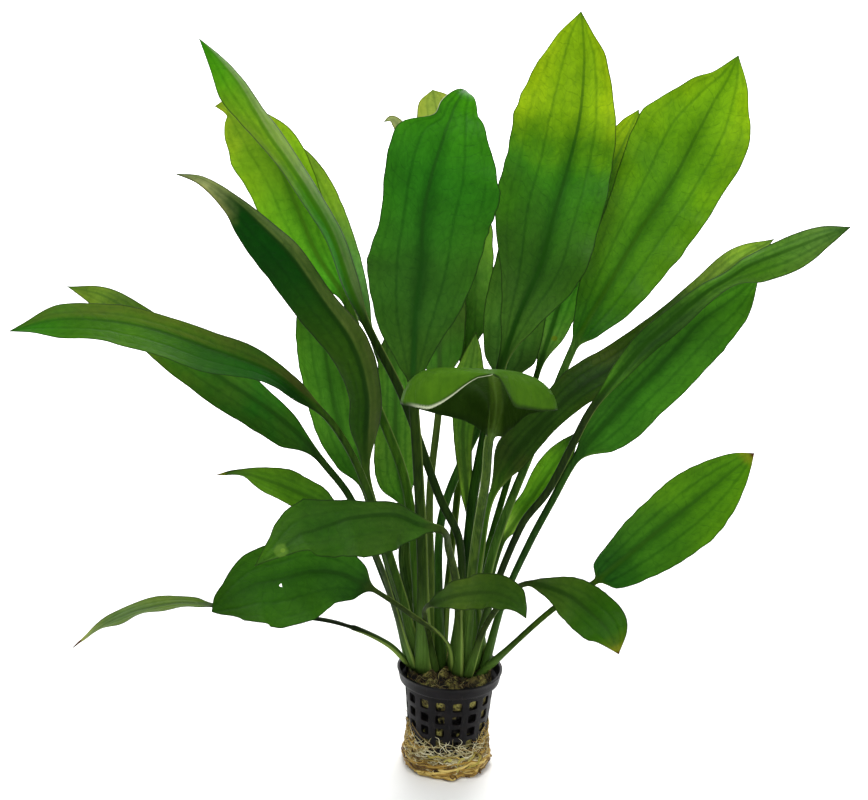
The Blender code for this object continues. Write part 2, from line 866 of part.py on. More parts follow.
def build_wool() -> bpy.types.Object:
    """Plug of mineral wool inside the pot, its top surface lumpy round the crowns."""
    clear = POT_WALL + GAP

    def ring(radius: float, z: float, turns: np.ndarray) -> np.ndarray:
        is_top = z >= WOOL_TOP_Z - 0.01 and radius > 2
        lump = WOOL_LUMP * (np.sin(3 * turns + 0.6) * np.sin(5 * turns) if is_top else 0 * turns)
        return np.column_stack([radius * np.cos(turns), radius * np.sin(turns), z + np.minimum(lump, 0.2)])

    profile = [
        (POT_FLOOR_RADIUS - clear - 0.6, POT_FLOOR_Z + POT_WALL + GAP),
        (pot_radius(POT_WALL_TOP_Z) - clear - 0.4, POT_WALL_TOP_Z - 0.6),
        (pot_radius(POT_WALL_TOP_Z) - clear - 0.6, WOOL_TOP_Z - 0.4),
        (20.0, WOOL_TOP_Z),
        (11.0, WOOL_TOP_Z),
    ]
    points, faces = turned_body(profile, WOOL_SIDES, ring)
    return add_object("mineral_wool", points, faces, FINISHES["mineral_wool"])


def build_crown(name: str, centre: tuple) -> bpy.types.Object:
    """Short rootstock that stands on the wool and carries the seats of the stalks."""

    def ring(radius: float, z: float, turns: np.ndarray) -> np.ndarray:
        reach = radius * (1 + 0.03 * np.sin(4 * turns))
        x = centre[0] + reach * np.cos(turns)
        y = centre[1] + reach * np.sin(turns)
        return np.column_stack([x, y, np.full_like(turns, z)])

    floor = WOOL_TOP_Z + GAP + 0.7
    profile = [(CROWN_RADIUS - 0.8, floor), (CROWN_RADIUS, floor + 1.2), (CROWN_RADIUS - 0.2, CROWN_TOP_Z)]
    points, faces = turned_body(profile, CROWN_SIDES, ring)
    points[-2, :2] = centre
    points[-1, :2] = centre
    return add_object(name, points, faces, FINISHES["crown_tissue"])


def build_root_mat() -> bpy.types.Object:
    """Cup of matted roots: a pad under the pot and a ragged sleeve round its lower third."""

    def ring(radius: float, z: float, turns: np.ndarray) -> np.ndarray:
        share = max(0.0, (z - MAT_WIDE_Z) / (MAT_TOP_Z - MAT_WIDE_Z))
        wave = MAT_TOP_WAVE * share * (0.6 * np.cos(2 * turns) + 0.4 * np.sin(5 * turns + 1))
        return np.column_stack([radius * np.cos(turns), radius * np.sin(turns), z + wave])

    inner_top = pot_radius(MAT_TOP_Z) + GAP + 0.15
    profile = [
        (MAT_FLAT_RADIUS, 0.0),
        (MAT_WIDE_RADIUS - 0.9, 1.6),
        (MAT_WIDE_RADIUS, MAT_WIDE_Z),
        (MAT_WIDE_RADIUS - 0.3, 9.0),
        (MAT_LIP_RADIUS, MAT_TOP_Z),
        (inner_top, MAT_TOP_Z),
        (POT_FLOOR_RADIUS + GAP + 0.35, POT_FLOOR_Z - GAP),
        (POT_FLOOR_RADIUS * 0.5, POT_FLOOR_Z - GAP),
    ]
    points, faces = turned_body(profile, MAT_SIDES, ring)
    return add_object("root_mat", points, faces, FINISHES["root_tissue"])


def main() -> None:
    """Build the pot, the roots, the two crowns and every leaf."""
    clear_scene()
    build_pot()
    build_wool()
    build_root_mat()
    build_crown("crown_left", LEFT_CROWN)
    build_crown("crown_right", RIGHT_CROWN)
    for leaf in LEAVES:
        build_leaf(leaf)


main()
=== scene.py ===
"""Fine surface model of a potted amazon sword plant: broad stalked leaves over a small net pot.

Lengths in the tables are millimetres. +Z is up, the origin is under the middle of the root mat, +X is to
the right and +Y is away from a person who looks at the plant from the front.
"""

import logging
import math
from dataclasses import dataclass, field
from enum import Enum
from typing import Optional

import bmesh
import bpy
import numpy as np
from mathutils import Matrix, Vector

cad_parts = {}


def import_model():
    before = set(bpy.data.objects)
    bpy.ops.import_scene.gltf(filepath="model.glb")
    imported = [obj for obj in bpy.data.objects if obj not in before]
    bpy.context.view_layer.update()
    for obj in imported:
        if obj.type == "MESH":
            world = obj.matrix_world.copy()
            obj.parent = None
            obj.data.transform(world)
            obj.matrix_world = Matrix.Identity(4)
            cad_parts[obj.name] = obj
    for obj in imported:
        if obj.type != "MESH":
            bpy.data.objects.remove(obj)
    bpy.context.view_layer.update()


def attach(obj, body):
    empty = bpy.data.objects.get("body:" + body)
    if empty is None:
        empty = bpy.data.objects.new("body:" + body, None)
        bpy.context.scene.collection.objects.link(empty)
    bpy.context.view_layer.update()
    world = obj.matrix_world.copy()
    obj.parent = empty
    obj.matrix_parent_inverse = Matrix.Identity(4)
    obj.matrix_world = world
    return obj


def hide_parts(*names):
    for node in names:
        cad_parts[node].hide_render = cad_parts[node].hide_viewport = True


LOG = logging.getLogger("plant")
MM = 0.001
TOWARDS_VIEWER = (0.0, -0.97, 0.26)
# The two side veins of each half: their place as a share of the half-width, and their strength.
VEINS = ((0.45, 1.0), (0.78, 0.5))
# Middles of the two crowns over x and y, and the height that every stalk starts from.
LEFT_CROWN = (-12.6, 3.5)
RIGHT_CROWN = (9.4, 0.0)
SEAT_Z = 52.7
# Opposite corners of the room that no point of a leaf leaves.
ROOM = ((-205.9, -135.9, 0.0), (161.9, 94.9, 384.9))
Colour = tuple[float, float, float]
Socket = bpy.types.NodeSocket


def srgb(red: int, green: int, blue: int) -> Colour:
    """Linear colour of three display values from 0 to 255: ((v + 0.055) / 1.055) ** 2.4 above the toe.

    Args:
        red: Display value of red.
        green: Display value of green.
        blue: Display value of blue.

    Returns:
        The three linear values.
    """
    shares = np.array([red, green, blue]) / 255.0
    linear = np.where(shares <= 0.04045, shares / 12.92, ((shares + 0.055) / 1.055) ** 2.4)
    return tuple(float(value) for value in linear)


def tints(*displayed: tuple) -> list[Colour]:
    """Linear colours of several display colours, each of them red, green and blue from 0 to 255."""
    return [srgb(*values) for values in displayed]


def unit(vectors: np.ndarray) -> np.ndarray:
    """Scale each row to length one."""
    return vectors / np.linalg.norm(vectors, axis=-1, keepdims=True)


def smooth(share: np.ndarray) -> np.ndarray:
    """Ease from 0 to 1 with level ends: t * t * (3 - 2 t)."""
    share = np.clip(share, 0.0, 1.0)
    return share * share * (3 - 2 * share)


def hump(distance: np.ndarray, width: float) -> np.ndarray:
    """Bell curve exp(-(d / w) ** 2)."""
    return np.exp(-((distance / width) ** 2))


def ripple(places: np.ndarray, seed: int, waves: int = 7) -> np.ndarray:
    """Smooth irregular curve between about -1 and 1: a sum of sines of unrelated rates and phases.

    Args:
        places: Where the curve is read; one unit is about one bump.
        seed: Chooses the rates and phases.
        waves: How many sines are added.

    Returns:
        The curve's values, shaped as places.
    """
    draw = np.random.default_rng(seed)
    rates = draw.uniform(2.2, 8.5, waves)
    phases = draw.uniform(0, 2 * math.pi, waves)
    total = np.sin(places[..., None] * rates + phases).sum(axis=-1)
    return total / math.sqrt(waves)


def lumps(points: np.ndarray, size: float, seed: int, waves: int = 14) -> np.ndarray:
    """Smooth irregular field between about -1 and 1: plane waves of random directions, added.

    Args:
        points: Rows of x, y, z in millimetres.
        size: Usual distance between two lumps in millimetres.
        seed: Chooses directions and phases.
        waves: How many plane waves are added.

    Returns:
        One value for each point.
    """
    draw = np.random.default_rng(seed)
    ways = unit(draw.normal(size=(waves, 3))) * (2 * math.pi / size) * draw.uniform(0.6, 1.5, (waves, 1))
    phases = draw.uniform(0, 2 * math.pi, waves)
    return np.sin(points @ ways.T + phases).sum(axis=-1) / math.sqrt(waves)


def spline(rows: np.ndarray, samples: np.ndarray) -> np.ndarray:
    """Catmull-Rom curve through the rows, all columns at once: cubic Hermite pieces with central slopes.

    Args:
        rows: One knot to a row, its first three columns a place in space.
        samples: Places on the curve, 0 at the first row and 1 at the last, by the length between rows.

    Returns:
        One row for each sample.
    """
    steps = np.linalg.norm(np.diff(rows[:, :3], axis=0), axis=1)
    knots = np.concatenate([[0.0], np.cumsum(steps)])
    knots = knots / knots[-1]
    slopes = np.zeros_like(rows)
    slopes[1:-1] = (rows[2:] - rows[:-2]) / (knots[2:] - knots[:-2])[:, None]
    slopes[0] = (rows[1] - rows[0]) / (knots[1] - knots[0])
    slopes[-1] = (rows[-1] - rows[-2]) / (knots[-1] - knots[-2])
    index = np.clip(np.searchsorted(knots, samples, side="right") - 1, 0, len(rows) - 2)
    span = (knots[index + 1] - knots[index])[:, None]
    t = ((samples - knots[index])[:, None]) / span
    start = (2 * t**3 - 3 * t**2 + 1) * rows[index]
    leave = (t**3 - 2 * t**2 + t) * span * slopes[index]
    end = (-2 * t**3 + 3 * t**2) * rows[index + 1]
    arrive = (t**3 - t**2) * span * slopes[index + 1]
    return start + leave + end + arrive


def ring_faces(count: int, sides: int) -> np.ndarray:
    """Four-sided faces between rings of points, each ring closed on itself.

    Args:
        count: Number of rings.
        sides: Points in each ring.

    Returns:
        Rows of four point numbers.
    """
    ring, side = np.meshgrid(np.arange(count - 1), np.arange(sides), indexing="ij")
    after = (side + 1) % sides
    near, far = ring * sides, (ring + 1) * sides
    return np.stack([near + side, near + after, far + after, far + side], axis=-1).reshape(-1, 4)


def cap_faces(first: int, sides: int, middle: int, upward: bool) -> np.ndarray:
    """Triangles from one ring to a middle point, closing the end of a row of rings.

    Args:
        first: Number of the ring's first point.
        sides: Points in the ring.
        middle: Number of the middle point.
        upward: Whether the ring is the last of its row.

    Returns:
        Rows of three point numbers.
    """
    side = np.arange(sides)
    after = (side + 1) % sides
    pair = (first + side, first + after) if upward else (first + after, first + side)
    return np.stack([*pair, np.full(sides, middle)], axis=-1)


def close_rings(rings: np.ndarray, ends: Optional[list] = None) -> tuple:
    """Faces over a row of closed rings, with a middle point and a fan of triangles at each end.

    Args:
        rings: Rings by places by 3.
        ends: The middle points of the first and the last ring; without them, each ring's mean.

    Returns:
        Points with the two middle points last, four-sided faces and triangles.
    """
    count, sides = rings.shape[:2]
    middles = ends or [rings[0].mean(axis=0), rings[-1].mean(axis=0)]
    points = np.vstack([rings.reshape(-1, 3), *middles])
    low = cap_faces(0, sides, count * sides, False)
    high = cap_faces((count - 1) * sides, sides, count * sides + 1, True)
    return points, ring_faces(count, sides), np.vstack([low, high])


def circle(count: int) -> np.ndarray:
    """Evenly spaced angles of a full turn, in radians."""
    return np.linspace(0, 2 * math.pi, count, endpoint=False)


def around_axis(radii: np.ndarray, turns: np.ndarray, heights: np.ndarray) -> np.ndarray:
    """Points (r cos t, r sin t, z) of radii, turns and heights that are spread to one shape."""
    columns = np.broadcast_arrays(radii * np.cos(turns), radii * np.sin(turns), heights)
    return np.stack(columns, axis=-1)


def is_inside_out(points: np.ndarray, quads: np.ndarray, triangles: np.ndarray) -> bool:
    """True when the closed surface's signed volume, the sum of a . (b x c) / 6, is negative.

    Args:
        points: Rows of x, y, z.
        quads: Rows of four point numbers.
        triangles: Rows of three point numbers.

    Returns:
        Whether the faces point inwards.
    """
    corners = np.vstack([quads[:, :3], quads[:, [0, 2, 3]], triangles])
    a, b, c = points[corners[:, 0]], points[corners[:, 1]], points[corners[:, 2]]
    return float(np.einsum("ij,ij->", a, np.cross(b, c))) < 0


def add_mesh(
    name: str,
    points: np.ndarray,
    quads: np.ndarray,
    triangles: Optional[np.ndarray] = None,
    marks: Optional[dict] = None,
    closed: bool = True,
) -> bpy.types.Object:
    """Put whole arrays of points and faces into a new smooth mesh object at the origin.

    Args:
        name: Name of the piece.
        points: Rows of x, y, z in millimetres.
        quads: Rows of four point numbers.
        triangles: Rows of three point numbers.
        marks: Values for each point, by attribute name.
        closed: Whether the surface encloses a volume, so its faces can be turned outwards.

    Returns:
        The new object.
    """
    if triangles is None:
        triangles = np.zeros((0, 3), int)
    if closed and is_inside_out(points, quads, triangles):
        quads, triangles = quads[:, ::-1], triangles[:, ::-1]
    corners = np.concatenate([quads.ravel(), triangles.ravel()]).astype(np.int32)
    starts = np.concatenate([np.arange(len(quads)) * 4, len(quads) * 4 + np.arange(len(triangles)) * 3])
    mesh = bpy.data.meshes.new(name)
    mesh.vertices.add(len(points))
    mesh.vertices.foreach_set("co", (points * MM).astype(np.float32).ravel())
    mesh.loops.add(len(corners))
    mesh.loops.foreach_set("vertex_index", corners)
    mesh.polygons.add(len(starts))
    mesh.polygons.foreach_set("loop_start", starts.astype(np.int32))
    mesh.polygons.foreach_set("use_smooth", np.ones(len(starts), bool))
    for mark, values in (marks or {}).items():
        layer = mesh.attributes.new(mark, "FLOAT", "POINT")
        layer.data.foreach_set("value", np.asarray(values, np.float32).ravel())
    mesh.update(calc_edges=True)
    mesh.validate()
    item = bpy.data.objects.new(name, mesh)
    bpy.context.scene.collection.objects.link(item)
    return item


def tubes(paths: np.ndarray, radii: np.ndarray, sides: int) -> tuple:
    """Closed tubes along many paths at once: each ring is c + r (cos a u + sin a v), u and v across it.

    Args:
        paths: Tube by tube, the points of its middle line, in millimetres.
        radii: Tube by tube, the radius at each of those points.
        sides: Points round the tube.

    Returns:
        Points, four-sided faces, triangles and the number of the tube that each point belongs to.
    """
    count, length = paths.shape[:2]
    along = unit(np.gradient(paths, axis=1))
    guide = np.where(np.abs(along[:, :1, 2:]) > 0.8, [1.0, 0.2, 0.0], [0.1, 0.2, 1.0])
    first = unit(np.cross(along, np.broadcast_to(guide, along.shape)))
    second = np.cross(along, first)
    turns = circle(sides)
    ring = np.cos(turns)[:, None] * first[:, :, None] + np.sin(turns)[:, None] * second[:, :, None]
    body = paths[:, :, None] + ring * radii[:, :, None, None]
    ends = np.stack([paths[:, 0], paths[:, -1]], axis=1)
    points = np.concatenate([body.reshape(count, -1, 3), ends], axis=1)
    each = length * sides + 2
    shift = (np.arange(count) * each)[:, None, None]
    quads = (ring_faces(length, sides)[None] + shift).reshape(-1, 4)
    low = cap_faces(0, sides, length * sides, False)
    high = cap_faces((length - 1) * sides, sides, length * sides + 1, True)
    triangles = (np.vstack([low, high])[None] + shift).reshape(-1, 3)
    return points.reshape(-1, 3), quads, triangles, np.repeat(np.arange(count), each)


class Graph:
    """Adds nodes to one node tree and wires them together."""

    def __init__(self, tree: bpy.types.NodeTree) -> None:
        """Keep the tree that the nodes go into."""
        self.tree = tree

    def node(self, kind: str, **settings: object) -> bpy.types.Node:
        """Add one node of a kind and set its properties.

        Args:
            kind: Type name of the node.
            settings: Properties by name.

        Returns:
            The node.
        """
        made = self.tree.nodes.new(kind)
        for key, value in settings.items():
            setattr(made, key, value)
        return made

    def put(self, socket: Socket, value: object) -> None:
        """Wire a socket to another one, or give it a fixed value.

        Args:
            socket: Socket that takes the value.
            value: A socket, a number or a colour.
        """
        if isinstance(value, Socket):
            self.tree.links.new(value, socket)
        elif isinstance(value, tuple) and len(value) == 3 and socket.type == "RGBA":
            socket.default_value = (*value, 1.0)
        else:
            socket.default_value = value

    def step(self, kind: str, given: dict, output: object = 0, **settings: object) -> Socket:
        """Add one node of a kind and feed its inputs.

        Args:
            kind: Type name of the node.
            given: Sockets or fixed values by the name or the number of the input.
            output: Name or number of the output that is wanted.
            settings: Properties by name.

        Returns:
            The output.
        """
        made = self.node(kind, **settings)
        for label, value in given.items():
            self.put(made.inputs[label], value)
        return made.outputs[output]

    def maths(self, action: str, first: object, second: object = 0.0, third: object = 0.0) -> Socket:
        """One step of arithmetic."""
        return self.step("ShaderNodeMath", {0: first, 1: second, 2: third}, operation=action)

    def plus(self, first: object, second: object) -> Socket:
        """Sum of two values."""
        return self.maths("ADD", first, second)

    def minus(self, first: object, second: object) -> Socket:
        """The first value less the second."""
        return self.maths("SUBTRACT", first, second)

    def times(self, first: object, second: object) -> Socket:
        """Product of two values."""
        return self.maths("MULTIPLY", first, second)

    def line(self, value: object, slope: object, start: object) -> Socket:
        """Straight line: value * slope + start."""
        return self.maths("MULTIPLY_ADD", value, slope, start)

    def band(self, value: object, low: object, high: object, start: float = 0.0, end: float = 1.0) -> Socket:
        """Smooth step of a value from start at low to end at high."""
        given = dict(enumerate((value, low, high, start, end)))
        return self.step("ShaderNodeMapRange", given, interpolation_type="SMOOTHSTEP")

    def mix(self, share: object, first: object, second: object, mode: str = "MIX") -> Socket:
        """Blend of two colours."""
        given = {0: share, 6: first, 7: second}
        return self.step("ShaderNodeMix", given, 2, data_type="RGBA", blend_type=mode)

    def tinted(self, colour: object, tint: object) -> Socket:
        """Colour times a tint."""
        return self.mix(1.0, colour, tint, "MULTIPLY")

    def mottled(self, colour: object, cloud: Socket, edges: tuple, dark: Colour, light: Colour) -> Socket:
        """Colour times dark where the cloud is below the first edge, and times light above the second."""
        return self.tinted(colour, self.mix(self.band(cloud, *edges), dark, light))

    def place(self, stretch: tuple = (1.0, 1.0, 1.0)) -> Socket:
        """Place on the piece in its own object coordinates, stretched."""
        spot = self.node("ShaderNodeTexCoord").outputs["Object"]
        return self.step("ShaderNodeMapping", {"Vector": spot, "Scale": stretch})

    def sheet(self, across: object, along: object) -> Socket:
        """Place in the sheet of a leaf, for a pattern that follows it."""
        return self.step("ShaderNodeCombineXYZ", {0: across, 1: along})

    def noise(self, vector: Socket, scale: float, detail: float = 2.0) -> Socket:
        """Cloudy value from 0 to 1, at a scale in bumps to a unit of the place."""
        return self.step("ShaderNodeTexNoise", {"Vector": vector, "Scale": scale, "Detail": detail})

    def mark(self, name: str) -> Socket:
        """Value that each point of the piece carries under a name."""
        return self.node("ShaderNodeAttribute", attribute_name=name).outputs["Fac"]


def new_group(name: str, inputs: dict, outputs: dict) -> tuple:
    """Start a shader node group.

    Args:
        name: Name of the group.
        inputs: Default values by socket name; a tuple makes a colour, a number a value.
        outputs: Socket types by name.

    Returns:
        The tree, its graph, the group's own input node and its output node.
    """
    tree = bpy.data.node_groups.new(name, "ShaderNodeTree")
    for label, value in inputs.items():
        kind = "NodeSocketColor" if isinstance(value, tuple) else "NodeSocketFloat"
        made = tree.interface.new_socket(name=label, in_out="INPUT", socket_type=kind)
        made.default_value = (*value, 1.0) if isinstance(value, tuple) else value
    for label, kind in outputs.items():
        tree.interface.new_socket(name=label, in_out="OUTPUT", socket_type=kind)
    graph = Graph(tree)
    return tree, graph, graph.node("NodeGroupInput").outputs, graph.node("NodeGroupOutput").inputs


def new_material(name: str, rough: float, bump: float, skin: "Skin") -> bpy.types.Material:
    """Material of one finish: the skin's colour, roughness and height on a Principled shader.

    Args:
        name: Name of the material.
        rough: Roughness when the skin gives none.
        bump: How far the height moves the surface, in metres.
        skin: What the surface shows.

    Returns:
        The material.
    """
    material = bpy.data.materials.new(name)
    material.use_nodes = True
    graph = Graph(material.node_tree)
    shader = material.node_tree.nodes["Principled BSDF"]
    shader.inputs["Roughness"].default_value = rough
    shader.inputs["Specular IOR Level"].default_value = skin.gloss
    colour, roughness, height = skin.paint(graph)
    graph.put(shader.inputs["Base Color"], colour)
    if roughness is not None:
        graph.put(shader.inputs["Roughness"], roughness)
    if height is not None:
        relief = graph.step("ShaderNodeBump", {"Strength": 1.0, "Distance": bump, "Height": height})
        graph.put(shader.inputs["Normal"], relief)
    return material


class Skin:
    """What a surface shows: subclasses paint colour, roughness and height with nodes."""

    gloss = 0.5

    def paint(self, graph: Graph) -> tuple:
        """Return the sockets of colour, roughness and height; the last two may be None."""
        raise NotImplementedError


class Half(Enum):
    """Which half of a blade carries the painted sheen or the painted highlight of a pale rim."""

    BOTH = 0.0
    LEFT = -1.0
    RIGHT = 1.0


@dataclass(frozen=True)
class Look(Skin):
    """Finish of one leaf: colours from neck to tip, its veins, and what has happened to it.

    wave is the depth of the margin's waves in millimetres and their number. The strengths are those of the
    painted sheen, a grey-green sheen painted on one half or both; of the blush; of the rim, a painted
    highlight that runs as a pale rim along one margin; of the fringe and of the veining; and keel is how
    stout the keel beneath is. burn is the share of the blade at its tip that is brown. rim_from and tip_from
    to tip_full are shares of the blade, and rim_in is the share of the half-width that the painted pale rim
    starts at. A hole is a share of the length, a share of the half-width and a radius in millimetres, and a
    spot is a reach, an offset and a radius in millimetres and a tint.
    under is the duller green beneath, which on the arching leaf is painted shade.
    """

    neck: Colour
    lower: Colour
    upper: Colour
    tip: Colour
    midrib: Colour
    stalk: Colour
    wave: tuple = (0.7, 5)
    # Painted sheen: the strength, the half and the grey-green tint of a sheen painted on the blade.
    bloom: float = 0.0
    bloom_half: Half = Half.BOTH
    blush: float = 0.0
    bloom_tint: Colour = srgb(112, 138, 66)
    under: Colour = srgb(62, 98, 34)
    burn: float = 0.0
    # Painted highlight: the strength, the half and the extent of a pale rim painted along one margin.
    rim: float = 0.0
    rim_half: Half = Half.RIGHT
    rim_from: float = 0.7
    rim_in: float = 0.95
    tip_from: float = 0.66
    tip_full: float = 0.98
    fringe: float = 0.3
    keel: float = 1.0
    veining: float = 1.0
    hole: Optional[tuple] = None
    spots: tuple = ()
    gloss = 0.05

    def paint(self, graph: Graph) -> tuple:
        """Leaf tissue with this leaf's own colours, then its spots.

        Args:
            graph: Node tree of the material.

        Returns:
            Sockets of colour, roughness and height.
        """
        skin = graph.node("ShaderNodeGroup", node_tree=leaf_tissue())
        for socket in skin.inputs:
            value = getattr(self, socket.name.lower().replace(" ", "_"))
            graph.put(socket, value.value if isinstance(value, Half) else value)
        colour = skin.outputs["Color"]
        for spot in self.spots:
            given = dict(zip(("Color", "Reach", "Offset", "Radius", "Tint"), (colour, *spot)))
            colour = graph.step("ShaderNodeGroup", given, "Color", node_tree=leaf_spot())
        return colour, skin.outputs["Roughness"], skin.outputs["Height"]


@dataclass(frozen=True)
class Leaf:
    """One leaf: its seat on a crown, the way of its stalk, and its blade.

    stalk rows are x, y, z above the seat. blade rows are x, y, z on the midrib with the half-widths to its
    left and right, from neck to tip. face is the way the seen side looks, and lift is how far the left and
    right margins stand forward of the midrib. curl is the angle in degrees that each half bends through
    towards its margin, and hang keeps the lift up to the tip: 0 lets it fade early, 1 holds it. opening is
    the share of the blade over which the stalk opens out into the sheet.
    """

    name: str
    crown: tuple
    ring: float
    bearing: float
    stalk: tuple
    blade: tuple
    look: Look
    stalk_width: float = 4.6
    face: tuple = TOWARDS_VIEWER
    lift: tuple = (2.0, 2.0)
    curl: float = 0.0
    hang: float = 0.0
    opening: float = 0.16
